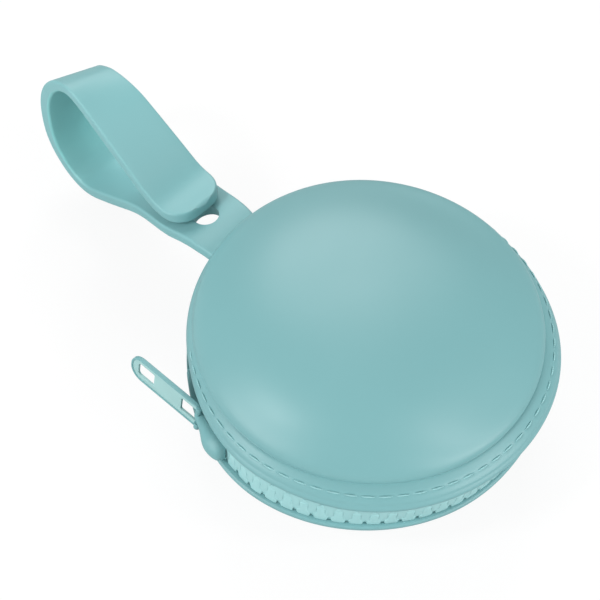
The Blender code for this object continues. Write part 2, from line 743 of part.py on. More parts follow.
def build_slider(metal, slider_axis):
    """The slider is modelled with x outwards from the case, y towards the hinge's end."""
    outer_face, inner_face = slider_faces()
    outer = block(
        "slider_body",
        (outer_face, -SLIDER_LENGTH / 2, -SLIDER_HALF_HEIGHT),
        (outer_face + SLIDER_PLATE, SLIDER_LENGTH / 2, SLIDER_HALF_HEIGHT),
        metal, slider_axis, SLIDER_BEVEL,
    )
    inner = block(
        "slider_inner_plate",
        (inner_face - SLIDER_PLATE, -SLIDER_INNER_LENGTH / 2, -SLIDER_HALF_HEIGHT),
        (inner_face, SLIDER_INNER_LENGTH / 2, SLIDER_HALF_HEIGHT),
        metal, slider_axis, SLIDER_BEVEL,
    )
    post_end = SLIDER_INNER_LENGTH / 2
    post = block(
        "slider_post",
        (inner_face - SLIDER_PLATE / 2, post_end - SLIDER_POST_LENGTH, -SLIDER_POST_HEIGHT / 2),
        (outer_face + SLIDER_PLATE / 2, post_end, SLIDER_POST_HEIGHT / 2),
        metal, slider_axis,
    )
    pin_x = outer_face - PIN_SINK
    pin_y = SLIDER_LENGTH / 2 + PIN_REACH
    lug = block(
        "slider_lug",
        (pin_x - EYE_RADIUS, SLIDER_LENGTH / 2 - LUG_OVERLAP, -LUG_WIDTH / 2),
        (pin_x + EYE_RADIUS, pin_y + EYE_RADIUS, LUG_WIDTH / 2),
        metal, slider_axis, SLIDER_BEVEL,
    )
    pin_length = PULLER_WIDTH - 2 * PIN_END_INSET
    bore = cylinder(
        "pin_bore", (pin_x, pin_y, 0.0), (0, 0, 1), PIN_RADIUS + PIN_GAP, 2 * pin_length, metal,
        slider_axis,
    )
    for piece in (inner, post, lug):
        apply_boolean(outer, piece, "UNION")
    apply_boolean(outer, bore, "DIFFERENCE")
    cylinder(
        "puller_pin", (pin_x, pin_y, 0.0), (0, 0, 1), PIN_RADIUS, pin_length, metal, slider_axis,
        PIN_SEGMENTS,
    )
    build_cap(outer_face + SLIDER_PLATE + CLEARANCE, metal, slider_axis)
    return pin_x, pin_y


def build_cap(base_x, metal, slider_axis):
    """The smooth drop-shaped cover on the slider's outer plate."""
    bm = bmesh.new()
    centre_y = -(SLIDER_LENGTH - CAP_LENGTH) / 2
    rings = []
    for scale, rise in CAP_RINGS:
        ring = []
        for k in range(CAP_STEPS):
            angle = 2 * math.pi * k / CAP_STEPS
            narrowing = CAP_SIDE_SHARE * (1.0 - CAP_NARROWING * math.sin(angle))
            y = centre_y + scale * CAP_LENGTH / 2 * math.sin(angle)
            z = scale * narrowing * CAP_HEIGHT / 2 * math.cos(angle)
            ring.append(bm.verts.new((base_x + rise * CAP_RISE, y, z)))
        rings.append(ring)
    for here, after in zip(rings[:-1], rings[1:]):
        for i in range(CAP_STEPS):
            j = (i + 1) % CAP_STEPS
            bm.faces.new((here[i], here[j], after[j], after[i]))
    bm.faces.new(rings[0])
    tip = bm.verts.new((base_x + CAP_RISE, centre_y, 0.0))
    for i in range(CAP_STEPS):
        bm.faces.new((rings[-1][i], rings[-1][(i + 1) % CAP_STEPS], tip))
    return add_object("slider_cap", bm, metal, slider_axis)


def rounded_plate(name, start, end, width, thickness, end_round, material, parent):
    """A flat bar along local X whose far end is rounded, lying in the local XZ plane."""
    bm = bmesh.new()
    half = width / 2
    outline = [(start, -half)]
    for k in range(7):
        angle = -math.pi / 2 + math.pi * k / 6
        lift = half * math.sin(angle)
        reach = end - end_round + end_round * math.cos(angle)
        outline.append((reach, lift))
    outline.append((start, half))
    front = [bm.verts.new((x, -thickness / 2, z)) for x, z in outline]
    back = [bm.verts.new((x, thickness / 2, z)) for x, z in outline]
    bm.faces.new(front)
    bm.faces.new(back[::-1])
    for i in range(len(outline)):
        j = (i + 1) % len(outline)
        bm.faces.new((front[i], front[j], back[j], back[i]))
    return add_object(name, bm, material, parent)


def build_puller(metal, puller_axis):
    """The pull tab: a plate with two windows and a sunk middle, forked round the slider's lug."""
    plate = rounded_plate(
        "puller_tab", 0.0, PULLER_LENGTH, PULLER_WIDTH, PULLER_THICKNESS, PULLER_END_ROUND, metal,
        puller_axis,
    )
    eye = cylinder(
        "puller_eye", (0.0, 0.0, 0.0), (0, 0, 1), EYE_RADIUS, PULLER_WIDTH, metal, puller_axis
    )
    bore = cylinder(
        "eye_bore", (0.0, 0.0, 0.0), (0, 0, 1), PIN_RADIUS + PIN_GAP, 2 * PULLER_WIDTH, metal,
        puller_axis,
    )
    far_high = PULLER_LENGTH - PULLER_END_BAR
    windows = [
        (-2 * EYE_RADIUS, PULLER_NEAR_WINDOW_END),
        (far_high - PULLER_WINDOW_LENGTH, far_high),
    ]
    apply_boolean(plate, eye, "UNION")
    apply_boolean(plate, bore, "DIFFERENCE")
    for low, high in windows:
        window = block(
            "puller_window",
            (low, -2 * EYE_RADIUS, -PULLER_WINDOW_WIDTH / 2),
            (high, 2 * EYE_RADIUS, PULLER_WINDOW_WIDTH / 2),
            metal, puller_axis,
        )
        apply_boolean(plate, window, "DIFFERENCE")
    for side in (1, -1):
        face = side * PULLER_THICKNESS / 2
        floor = face - side * PULLER_RECESS
        outside = side * PULLER_THICKNESS
        recess = block(
            "puller_recess",
            (2 * EYE_RADIUS, min(floor, outside), PULLER_RIM - PULLER_WIDTH / 2),
            (far_high, max(floor, outside), PULLER_WIDTH / 2 - PULLER_RIM),
            metal, puller_axis,
        )
        apply_boolean(plate, recess, "DIFFERENCE")


def build_hinge_strip(skin):
    outer = HINGE_RADIUS
    inner = HINGE_RADIUS - HINGE_STRIP_THICKNESS
    half = ZIP_GAP / 2 - CLEARANCE
    reach = HINGE_HALF_ANGLE - STRIP_END_ANGLE

    def profile(angle):
        return [(outer, -half), (outer, half), (inner, half), (inner, -half)]

    strip = swept_band(
        "hinge_strip", profile, 90.0 - reach, 90.0 + reach, STRIP_STEPS, MID_Z, 1, skin, None
    )
    half_width = STRAP_WIDTH / 2 + STRAP_SLOT_GAP
    half_height = STRAP_THICKNESS / 2 + STRAP_SLOT_GAP
    slot = block(
        "strap_slot",
        (-half_width, HINGE_RADIUS - STRAP_WIDTH / 2, MID_Z - half_height),
        (half_width, HINGE_RADIUS + STRAP_WIDTH / 2, MID_Z + half_height),
        skin,
    )
    apply_boolean(strip, slot, "DIFFERENCE")


def build_strap(silicone, flap_axis):
    lower_route = smooth_route(STRAP_LOWER_ROUTE, ROUTE_STEPS)
    upper_route = smooth_route(STRAP_UPPER_ROUTE, ROUTE_STEPS)
    half_gap = CLEARANCE / 2
    lower_route[-1, 1] -= half_gap
    upper_route[0, 1] += half_gap
    lower = strap_solid("strap_lower_run", lower_route, False, silicone, None)
    anchor_y = lower_route[0, 0]
    anchor = block(
        "strap_anchor",
        (-ANCHOR_WIDTH / 2, anchor_y, MID_Z - ANCHOR_HEIGHT / 2),
        (ANCHOR_WIDTH / 2, anchor_y + ANCHOR_THICKNESS, MID_Z + ANCHOR_HEIGHT / 2),
        silicone,
    )
    apply_boolean(lower, anchor, "UNION")
    for place in (BUTTON_PLACE, SPARE_HOLE_PLACE):
        point, slope = route_frame(lower_route, HINGE_RADIUS + place)
        across = (0.0, -math.sin(slope), math.cos(slope))
        hole = cylinder(
            "strap_hole", (0.0, point[0], MID_Z + point[1]), across, STRAP_HOLE_RADIUS,
            3 * STRAP_THICKNESS, silicone, None, HOLE_SEGMENTS,
        )
        apply_boolean(lower, hole, "DIFFERENCE")
    upper = strap_solid("strap_upper_run", upper_route, True, silicone, flap_axis)
    upper.data.transform(Matrix.Translation(-flap_axis.location))
    build_button(lower_route, upper_route, silicone, flap_axis)


def build_button(lower_route, upper_route, silicone, flap_axis):
    """The stud under the tip, whose head has been pressed through the strap's outer hole."""
    point, slope = route_frame(lower_route, HINGE_RADIUS + BUTTON_PLACE)
    over = upper_route[len(upper_route) // 2 :]
    tip_height = float(np.interp(point[0], over[::-1, 0], over[::-1, 1]))
    top = tip_height - point[1] - STRAP_THICKNESS / 2 - BUTTON_TOP_GAP
    under = -STRAP_THICKNESS / 2 - BUTTON_UNDER_GAP
    profile = [
        (0.0, top),
        (BUTTON_NECK_RADIUS, top),
        (BUTTON_NECK_RADIUS, under),
        (BUTTON_HEAD_RADIUS - BUTTON_HEAD_ROUND, under),
        (BUTTON_HEAD_RADIUS, under - BUTTON_HEAD_ROUND),
        (BUTTON_HEAD_RADIUS - BUTTON_HEAD_CROWN, under - 2 * BUTTON_HEAD_CROWN),
        (0.0, under - BUTTON_HEAD_HEIGHT),
    ]
    button = turned_solid("strap_button", profile, ROUND_SEGMENTS, silicone, flap_axis)
    place = Vector((0.0, point[0], MID_Z + point[1]))
    turn = Matrix.Rotation(slope, 4, "X")
    button.data.transform(Matrix.Translation(place - flap_axis.location) @ turn)


def main():
    clear_scene()
    teal = (0.24, 0.50, 0.51)
    pale_teal = (0.36, 0.64, 0.65)
    shell_skin = make_material("moulded_skin", teal, 0.5)
    lining_cloth = make_material("lining_cloth", (0.30, 0.52, 0.53), 0.9)
    tape = make_material("zip_tape", (0.20, 0.45, 0.45), 0.85)
    plastic = make_material("zip_plastic", pale_teal, 0.4)
    metal = make_material("enamelled_metal", (0.28, 0.55, 0.55), 0.35, 0.1)
    silicone = make_material("strap_silicone", teal, 0.45)
    thread = make_material("seam_thread", pale_teal, 0.8)
    lid_axis = add_empty("lid_axis", (0.0, HINGE_RADIUS, HINGE_AXIS_Z))
    over = (math.pi, 0.0, math.radians(SLIDER_PARK_ANGLE))
    slider_axis = add_empty("slider_axis", (0.0, 0.0, MID_Z), over)
    build_case(shell_skin, lining_cloth, thread, lid_axis)
    build_zip(tape, plastic, lid_axis)
    pin_x, pin_y = build_slider(metal, slider_axis)
    rest = (0.0, 0.0, math.radians(90.0 - PULLER_REST_ANGLE))
    puller_axis = add_empty("puller_axis", (pin_x, pin_y, 0.0), rest, slider_axis)
    build_puller(metal, puller_axis)
    build_hinge_strip(shell_skin)
    bend_y, bend_z = np.array(STRAP_UPPER_ROUTE[0]) * MM + (HINGE_RADIUS, 0.0)
    outermost = STRAP_THICKNESS / 2 - strap_lean(bend_y, -strap_half(bend_y, True, -1))
    flap_axis = add_empty("flap_axis", (0.0, bend_y + outermost, MID_Z + bend_z))
    build_strap(silicone, flap_axis)


main()
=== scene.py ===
# %% [markdown]
# # A zipped pacifier case
#
# The case is two soft domes with stitched rims, a coarse zip round the front, a smooth
# hinge at the back and a strap that loops over and buttons onto itself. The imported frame
# gives every piece its place and its motion; this notebook gives each one its surface.

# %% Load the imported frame
import math

import bmesh
import bpy
import numpy as np
from mathutils import Matrix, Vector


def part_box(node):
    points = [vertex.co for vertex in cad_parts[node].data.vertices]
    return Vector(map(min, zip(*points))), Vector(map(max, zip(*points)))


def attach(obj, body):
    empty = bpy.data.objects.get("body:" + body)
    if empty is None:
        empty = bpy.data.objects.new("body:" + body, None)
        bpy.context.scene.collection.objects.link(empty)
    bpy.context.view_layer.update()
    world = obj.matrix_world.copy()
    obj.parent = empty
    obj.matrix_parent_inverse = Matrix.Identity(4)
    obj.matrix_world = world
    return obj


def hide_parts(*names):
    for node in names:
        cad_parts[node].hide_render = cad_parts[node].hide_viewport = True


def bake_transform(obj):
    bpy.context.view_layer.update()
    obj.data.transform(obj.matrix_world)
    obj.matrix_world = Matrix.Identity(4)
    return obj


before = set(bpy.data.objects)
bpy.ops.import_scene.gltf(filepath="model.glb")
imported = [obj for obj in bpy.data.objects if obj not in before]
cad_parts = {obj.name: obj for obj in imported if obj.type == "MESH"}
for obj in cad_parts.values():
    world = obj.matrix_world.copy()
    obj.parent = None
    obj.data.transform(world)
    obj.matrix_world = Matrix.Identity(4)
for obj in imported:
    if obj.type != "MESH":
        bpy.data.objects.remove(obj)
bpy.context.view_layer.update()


def show(name, data):
    """Puts a mesh, a curve, a lamp or the camera into the scene as an object."""
    thing = bpy.data.objects.new(name, data)
    scene.collection.objects.link(thing)
    return thing


scene = bpy.context.scene

# %% [markdown]
# ## Sizes
#
# All sizes below are millimetres, as on a pattern maker's drawing, and become metres when a
# mesh is made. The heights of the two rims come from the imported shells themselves, so the
# zip, the hinge and the strap are always centred between them.

# %% Sizes of the case
MM = 0.001
LOWER_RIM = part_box("lower_shell")[1][2] / MM
UPPER_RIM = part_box("upper_shell")[0][2] / MM
MIDDLE = (LOWER_RIM + UPPER_RIM) / 2
ZIP_GAP = UPPER_RIM - LOWER_RIM

RIM_RADIUS = 45.0
HINGE_RADIUS = 42.4
CREASE_RADIUS = 41.2
HINGE_CREASE_RADIUS = 41.0
FLANGE_HEIGHT = 5.4
DOME_RISE = 13.8
BASE_FLAT_RADIUS = 17.0
WALL = 2.2
RIM_FACE = 2.0
HINGE_HALF_ANGLE = 50.0
LEFT_TAPER_ANGLE = 50.0
RIGHT_TAPER_ANGLE = 110.0
FRONT_ANGLE = 270.0
BASE_RISE = DOME_RISE * math.sqrt(1 - (BASE_FLAT_RADIUS / CREASE_RADIUS) ** 2)
print("rims at", round(LOWER_RIM, 2), "and", round(UPPER_RIM, 2), "mm, gap", round(ZIP_GAP, 2))

# %% [markdown]
# ## The camera
#
# The camera looks down on the case from the front left, turned a little about its own line
# of sight. Its direction comes from a heading, an elevation and a roll, and its place from
# the pixel at which the middle of the upper rim lands in a picture of 600 by 600.

# %% The camera
HEADING = math.radians(50.5)
ELEVATION = math.radians(57.56)
ROLL = math.radians(4.32)
DISTANCE = 450.0
FOCAL_PIXELS = 1917.1
PICTURE_SIZE = 600
SENSOR_WIDTH = 36.0
RIM_CENTRE_PIXEL = (367.2, 337.7)


def turn_pair(first, second, angle):
    """Turns two coordinates by an angle, from the first towards the second."""
    c, s = math.cos(angle), math.sin(angle)
    return first * c - second * s, first * s + second * c


def level_turn(vector, angle):
    """Turns a vector clockwise about the vertical, as seen from above."""
    return np.array([*turn_pair(vector[0], vector[1], -angle), vector[2]])


def stand(thing, *columns):
    """Gives a thing its directions to the right, up and back, and its place in metres."""
    rows = np.column_stack(columns).tolist()
    thing.matrix_world = Matrix([*rows, [0.0, 0.0, 0.0, 1.0]])


down = np.array([0.0, math.cos(ELEVATION), -math.sin(ELEVATION)])
level = np.array([1.0, 0.0, 0.0])
over = np.cross(level, down)
right = level_turn(math.cos(ROLL) * level + math.sin(ROLL) * over, HEADING)
up = level_turn(math.cos(ROLL) * over - math.sin(ROLL) * level, HEADING)
forward = level_turn(down, HEADING)
offset_right = (RIM_CENTRE_PIXEL[0] - PICTURE_SIZE / 2) / FOCAL_PIXELS * DISTANCE
offset_up = -(RIM_CENTRE_PIXEL[1] - PICTURE_SIZE / 2) / FOCAL_PIXELS * DISTANCE
rim_centre = np.array([0.0, 0.0, UPPER_RIM])
place = rim_centre - offset_right * right - offset_up * up - DISTANCE * forward

camera_data = bpy.data.cameras.new("camera")
camera_data.sensor_width = SENSOR_WIDTH
camera_data.lens = FOCAL_PIXELS / PICTURE_SIZE * SENSOR_WIDTH
camera_data.clip_start = 0.01
camera_data.clip_end = 20.0
scene.camera = show("camera", camera_data)
stand(scene.camera, right, up, -forward, place * MM)
print("lens", round(camera_data.lens, 1), "mm, camera at", np.round(place, 1), "mm")

# %% [markdown]
# ## Turning numbers into surfaces
#
# A surface here is a grid of points worked out with numpy: rows along one parameter and
# columns along the other. Four neighbouring points make a face. A grid can close on itself
# in either direction, and its first or last row can be shut with a cap. Doubled points at a
# pole are merged afterwards, and the normals of the closed shape are made to point out.

# %% Grids, curves and meshes
SHARP = 40.0


def grid_faces(rows, columns, close_rows, close_columns):
    """Corner numbers of the quads of a grid: each cell joins a point to its next ones."""
    row = np.arange(rows if close_rows else rows - 1)[:, None]
    column = np.arange(columns if close_columns else columns - 1)[None, :]
    below = (row + 1) % rows
    beside = (column + 1) % columns
    corners = [row * columns + column, row * columns + beside]
    corners += [below * columns + beside, below * columns + column]
    return np.stack([np.broadcast_to(c, (len(row), column.size)) for c in corners], -1)


def shade(mesh, sharp):
    """Smooth shading, which leaves the edges that are sharper than an angle hard."""
    mesh.shade_smooth()
    mesh.set_sharp_from_angle(angle=math.radians(sharp))


def mesh_object(name, points, faces, material, sharp=SHARP):
    """A mesh object at the origin from points in millimetres, merged, closed and smooth."""
    mesh = bpy.data.meshes.new(name)
    mesh.from_pydata((np.asarray(points) * MM).tolist(), [], faces)
    bm = bmesh.new()
    bm.from_mesh(mesh)
    bmesh.ops.remove_doubles(bm, verts=bm.verts, dist=1e-6)
    bmesh.ops.dissolve_degenerate(bm, edges=bm.edges, dist=1e-7)
    bmesh.ops.recalc_face_normals(bm, faces=bm.faces)
    bm.to_mesh(mesh)
    bm.free()
    mesh.materials.append(material)
    shade(mesh, sharp)
    return show(name, mesh)


def mesh_points(mesh):
    """The corners of a mesh in millimetres."""
    points = np.empty(len(mesh.vertices) * 3)
    mesh.vertices.foreach_get("co", points)
    return points.reshape(-1, 3) / MM


def grid_object(name, grid, material, close_rows=False, close_columns=True, caps=True, sharp=SHARP):
    """One grid, or a stack of equal grids, as a piece with its open ends capped."""
    grids = grid if grid.ndim == 4 else grid[None]
    count, rows, columns = grids.shape[:3]
    cells = grid_faces(rows, columns, close_rows, close_columns).reshape(-1, 4)
    faces = []
    for number in range(count):
        start = number * rows * columns
        faces += (cells + start).tolist()
        if caps and not close_rows:
            faces.append(list(range(start, start + columns)))
            faces.append(list(range(start + (rows - 1) * columns, start + rows * columns)))
    return mesh_object(name, grids.reshape(-1, 3), faces, material, sharp)


def curve_through(points, steps):
    """A Catmull-Rom curve: each stretch is a cubic that leaves a point towards the next
    but one, so the curve runs through every point without a corner."""
    points = np.asarray(points, float)
    padded = np.vstack([2 * points[0] - points[1], points, 2 * points[-1] - points[-2]])
    t = (np.arange(steps) / steps)[None, :, None]
    a, b, c, d = (padded[k : len(points) - 1 + k, None, :] for k in range(4))
    curve = 2 * b + (c - a) * t + (2 * a - 5 * b + 4 * c - d) * t**2
    curve = 0.5 * (curve + (3 * b - a - 3 * c + d) * t**3)
    return np.vstack([curve.reshape(-1, points.shape[1]), points[-1:]])


def smooth_step(value):
    """Rises from 0 to 1 with a level start and end."""
    value = np.clip(value, 0.0, 1.0)
    return value * value * (3.0 - 2.0 * value)


def share_between(value, start, end):
    """How far a value has come from start to end, from 0 to 1, by the smooth step."""
    return smooth_step((value - start) / (end - start))


def mixed(share, start, end):
    """From start, where the share is 0, to end, where it is 1."""
    return start + (end - start) * share


def full_turn(count):
    return np.linspace(0, 2 * math.pi, count, endpoint=False)


def round_points(radius, angle, z):
    """Points from their distance to the case's axis, their angle round it and their height."""
    return np.stack([radius * np.cos(angle), radius * np.sin(angle), z + 0 * radius], -1)


def half_height(height, lid):
    """A height over the lid's rim, or the same distance below the base's rim."""
    return UPPER_RIM + height if lid else LOWER_RIM - height


# Name, body and whether it is the lid, of the case's two halves
HALVES = ("upper", "lid", True), ("lower", "base", False)


def hand_over(piece, node, body=None):
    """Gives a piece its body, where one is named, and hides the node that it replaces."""
    if body:
        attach(piece, body)
    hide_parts(node)
    print(f"{piece.name}: {len(piece.data.polygons)} faces in place of {node}")


# %% [markdown]
# ## Writing materials as sums
#
# A Math node for every plus sign makes a material hard to read. Here a small class wraps a
# node's output, so that an expression such as 0.4 + 0.1 * noise adds the nodes by itself.
# Everything that isn't plain arithmetic on numbers comes from one method, node().

# %% The shader helper
class Wire:
    """A number that varies over a surface, as a socket that takes part in arithmetic."""

    def __init__(self, tree, socket):
        self.tree = tree
        self.socket = socket

    def math(self, operation, first, second):
        node = self.tree.nodes.new("ShaderNodeMath")
        node.operation = operation
        feed(self.tree, node.inputs[0], first)
        feed(self.tree, node.inputs[1], second)
        return Wire(self.tree, node.outputs[0])

    def __add__(self, other):
        return self.math("ADD", self, other)

    def __sub__(self, other):
        return self.math("SUBTRACT", self, other)

    def __rsub__(self, other):
        return self.math("SUBTRACT", other, self)

    def __mul__(self, other):
        return self.math("MULTIPLY", self, other)

    __radd__ = __add__
    __rmul__ = __mul__


def feed(tree, slot, value):
    """Links a wire to an input, or sets the input to a plain value."""
    if isinstance(value, Wire):
        tree.links.new(value.socket, slot)
    else:
        slot.default_value = value


class Finish:
    """A material whose nodes are added by short calls."""

    def __init__(self, name, **fixed):
        self.material = bpy.data.materials.new(name)
        self.material.use_nodes = True
        self.tree = self.material.node_tree
        self.shader = self.tree.nodes["Principled BSDF"]
        for socket, value in fixed.items():
            self.shader.inputs[socket.replace("_", " ")].default_value = value

    def node(self, kind, settings=None, output=0, **values):
        """Any node: its type, its settings, then its inputs by name with _ for a space."""
        node = self.tree.nodes.new(kind)
        for key, value in (settings or {}).items():
            setattr(node, key, value)
        for key, value in values.items():
            name = key.replace("_", " ")
            slot = next(s for s in node.inputs if s.name == name and s.enabled)
            feed(self.tree, slot, value)
        return Wire(self.tree, node.outputs[output])

    def position(self):
        return self.node("ShaderNodeTexCoord", output=3)

    def noise(self, scale, detail=2.0):
        return self.node("ShaderNodeTexNoise", Vector=self.position(), Scale=scale, Detail=detail)

    def bands(self, direction, scale, distortion):
        """Straight waves that run one way, bent a little."""
        return self.node(
            "ShaderNodeTexWave", {"wave_type": "BANDS", "bands_direction": direction},
            Vector=self.position(), Scale=scale, Distortion=distortion, Detail=1.0,
        )

    def tone(self, share, tones):
        """Between the light tone and the deep one, which takes over where the share is 0."""
        light, deep = tones
        return self.blend_colours(share, colour(*deep), colour(*light))

    def blend_colours(self, share, first, second):
        kind = {"data_type": "RGBA"}
        return self.node("ShaderNodeMix", kind, output=2, Factor=share, A=first, B=second)

    def bump(self, height, distance, strength=1.0):
        return self.node("ShaderNodeBump", Height=height, Distance=distance, Strength=strength)

    def connect(self, **links):
        for socket, value in links.items():
            feed(self.tree, self.shader.inputs[socket.replace("_", " ")], value)
        return self.material


def colour(red, green, blue):
    """An sRGB colour of 0 to 255 as the linear colour that a shader takes."""
    parts = np.array([red, green, blue]) / 255.0
    linear = np.where(parts <= 0.04045, parts / 12.92, ((parts + 0.055) / 1.055) ** 2.4)
    return (*linear.tolist(), 1.0)


# %% [markdown]
# ## The finishes
#
# The case is one colour family, a soft blue green, in six finishes. The domes and the strap
# are moulded skin: broad, soft highlights and a grain that is only just there. The face
# inside the strap's loop takes a lighter tone, which is painted bounce light. The zip's
# teeth are smoother and lighter. The slider and the tab are smooth enamel in two copies: a
# darker one, painted shade, on the slider's drop, the tab's rim and the small metal parts,
# and a lighter one, painted light, on the tab's middle sheet. The tapes and the lining are
# cloth. None of them is a flat colour: each has a slow drift of tone and its own fine texture.

# %% Finishes
# The light and the deep tone of each finish, in sRGB
SKIN = (119, 169, 172), (115, 165, 168)
STRAP = (127, 180, 183), (123, 176, 179)
# Painted bounce light: the lighter tone of the face inside the strap's loop, in sRGB
STRAP_INSIDE_BOUNCE_LIGHT = 136, 205, 205
TEETH = (156, 205, 206), (148, 198, 200)
# Painted shade and painted light: one enamel in two copies, a darker one for the slider's drop, the
# tab's rim and the small metal parts, and a lighter one for the tab's middle sheet, as if it caught
# the light
SHADED_ENAMEL = (116, 169, 172), (110, 163, 166)
LIT_ENAMEL = (156, 198, 197), (151, 193, 192)
TAPE = (138, 190, 191), (126, 180, 181)
LINING = (134, 180, 181), (120, 168, 170)
THREAD = (153, 202, 204), (136, 187, 189)


def moulded_skin(name, tones, roughness, inside=None):
    """Soft moulded skin: a slow drift of tone, fine pores and a soft shine. Where the
    piece's attribute "inside" says so, it takes a lighter tone of its own, which is painted bounce
    light."""
    finish = Finish(name, IOR=1.45)
    drift = finish.noise(38.0, 3.0)
    pores = finish.noise(2600.0)
    smears = finish.noise(120.0, 4.0)
    tone = finish.tone(drift, tones)
    if inside:
        # Painted bounce light: a lighter tone where the attribute "inside" says so
        share = finish.node("ShaderNodeAttribute", {"attribute_name": "inside"}, output=2)
        tone = finish.blend_colours(share, tone, colour(*inside))
    return finish.connect(
        Base_Color=tone,
        Roughness=roughness + 0.08 * smears + 0.03 * pores,
        Normal=finish.bump(pores * 0.7 + smears * 0.3, 0.00004, 0.35),
    )


def moulded_plastic(name, tones, roughness):
    """Smooth moulded or enamelled surface with faint flow marks."""
    finish = Finish(name, IOR=1.5)
    flow = finish.noise(260.0, 3.0)
    fine = finish.noise(3200.0)
    return finish.connect(
        Base_Color=finish.tone(flow, tones),
        Roughness=roughness + 0.1 * flow,
        Normal=finish.bump(fine, 0.00002, 0.3),
    )


def woven_cloth(name, tones, threads, warp, weft):
    """Plain weave: two crossed waves, so that warp and weft take turns on top."""
    finish = Finish(name)
    weave = finish.bands(warp, threads, 0.6) * 0.5 + finish.bands(weft, threads, 0.6) * 0.5
    fuzz = finish.noise(1800.0, 3.0)
    return finish.connect(
        Base_Color=finish.tone(weave * 0.7 + fuzz * 0.3, tones),
        Roughness=0.82 + 0.1 * fuzz,
        Normal=finish.bump(weave * 0.8 + fuzz * 0.2, 0.00012, 0.7),
    )


def twisted_thread(name, tones):
    """Sewing thread: fine slanted bands, as the plies of the thread."""
    finish = Finish(name)
    plies = finish.bands("DIAGONAL", 900.0, 1.2)
    return finish.connect(
        Base_Color=finish.tone(plies, tones),
        Roughness=0.6 + 0.15 * plies,
        Normal=finish.bump(plies, 0.00006, 0.6),
    )


skin_finish = moulded_skin("moulded_skin", SKIN, 0.33)
strap_finish = moulded_skin("strap_silicone", STRAP, 0.38, STRAP_INSIDE_BOUNCE_LIGHT)
teeth_finish = moulded_plastic("zip_plastic", TEETH, 0.34)
# The enamel in a shaded copy and a lit copy: painted shade and painted light
shaded_enamel_finish = moulded_plastic("enamelled_metal", SHADED_ENAMEL, 0.42)
lit_enamel_finish = moulded_plastic("enamel_painted_light", LIT_ENAMEL, 0.38)
tape_finish = woven_cloth("zip_tape", TAPE, 900.0, "DIAGONAL", "Z")
lining_finish = woven_cloth("lining_cloth", LINING, 620.0, "X", "Y")
thread_finish = twisted_thread("seam_thread", THREAD)
print("finishes:", ", ".join(material.name for material in bpy.data.materials))

# %% [markdown]
# ## The two domes
#
# Each half of the case is a moulded skin about 2 mm thick. Round the front its edge stands
# out in a flange: a crease where the dome ends, a sewn slope, a shallow dip and a rolled
# bead at the rim. Towards the hinge the flange dies away into a plain wall. One section,
# carried round the axis, would make a perfect round; here the section changes with the
# angle, by mixing a front section with a hinge section.

# %% The section of a dome and its flange
FRONT_EDGE = [
    (41.2, 5.40), (41.5, 5.20), (42.0, 4.96), (42.7, 4.50), (43.3, 3.95), (43.85, 3.30),
    (44.2, 2.70), (44.38, 2.20), (44.66, 1.80), (44.92, 1.35), (45.0, 0.80), (44.9, 0.25),
    (44.5, 0.0),
]
HINGE_EDGE = [
    (41.0, 5.40), (41.1, 5.15), (41.25, 4.85), (41.5, 4.40), (41.8, 3.90), (42.05, 3.30),
    (42.2, 2.75), (42.28, 2.30), (42.34, 1.95), (42.4, 1.45), (42.4, 0.80), (42.3, 0.20),
    (42.0, 0.0),
]
SEAM_HEIGHT = 3.95
SEAM_RADIUS = 43.3
SHIFT_ANGLES = [140, 160, 175, 190, 200, 219, 240, 258, 270, 280, 295, 310, 330, 360, 380, 400, 500]
UPPER_SHIFT = [0, 0, 0, 0, 0, 0.6, 0.7, 0.75, 0.8, 0.85, 0.8, 0.7, 0.2, -0.45, -0.5, 0, 0]
LOWER_SHIFT = [0.1, 0.3, 0.45, 0.7, 0.8, 0.5, 0.1, -0.3, -0.9, -1.15, -1.0, -0.7, -0.3, 0, 0, 0, 0]
SHIFT_FADE = 3.1
SMOOTHING = (-9.0, -4.5, 0.0, 4.5, 9.0)
CASE_COLUMNS = 600
DOME_ROWS = 42
ROW_CROWDING = 1.5
EDGE_STEPS = 4

# Power of the way out, waves round the lid, cosine part and sine part in mm
LID_SETTLING = [
    (0, 0, -1.40, 0.0), (2, 0, -1.31, 0.0), (4, 0, 2.89, 0.0), (6, 0, -11.79, 0.0),
    (1, 1, -3.80, -0.86), (3, 1, 1.05, 2.23), (5, 1, -6.54, -1.13),
    (2, 2, 0.20, 0.47), (4, 2, 0.29, -0.37), (6, 2, 0.29, -1.19),
    (3, 3, 0.04, -0.96), (5, 3, -0.42, -1.39),
    (4, 4, -1.09, -0.33), (6, 4, -1.34, -0.53),
]


def flange_share(angle):
    """How far the flange stands out: 1 round the front, 0 in the hinge zone."""
    turn = (np.degrees(angle) - FRONT_ANGLE + 180.0) % 360.0 - 180.0
    taper = np.where(turn > 0, RIGHT_TAPER_ANGLE, LEFT_TAPER_ANGLE)
    return smooth_step((180.0 - HINGE_HALF_ANGLE - np.abs(turn)) / taper)


def rim_radius(angle):
    """Between the hinge's radius and the rim's, by the flange's share."""
    return mixed(flange_share(angle), HINGE_RADIUS, RIM_RADIUS)


def dome_radius(angle):
    """The crease's radius, between its hinge and front values, by the flange's share."""
    return mixed(flange_share(angle), HINGE_CREASE_RADIUS, CREASE_RADIUS)


def lid_settling(way_out, angle):
    """How much higher the soft lid lies than a true ellipse: a sum of powers of the share
    of the way out times waves round the lid, faded out at the crease."""
    height = 0.0
    for power, waves, along, across in LID_SETTLING:
        height = height + way_out**power * (
            along * np.cos(waves * angle) + across * np.sin(waves * angle)
        )
    return height * (1.0 - way_out**2)


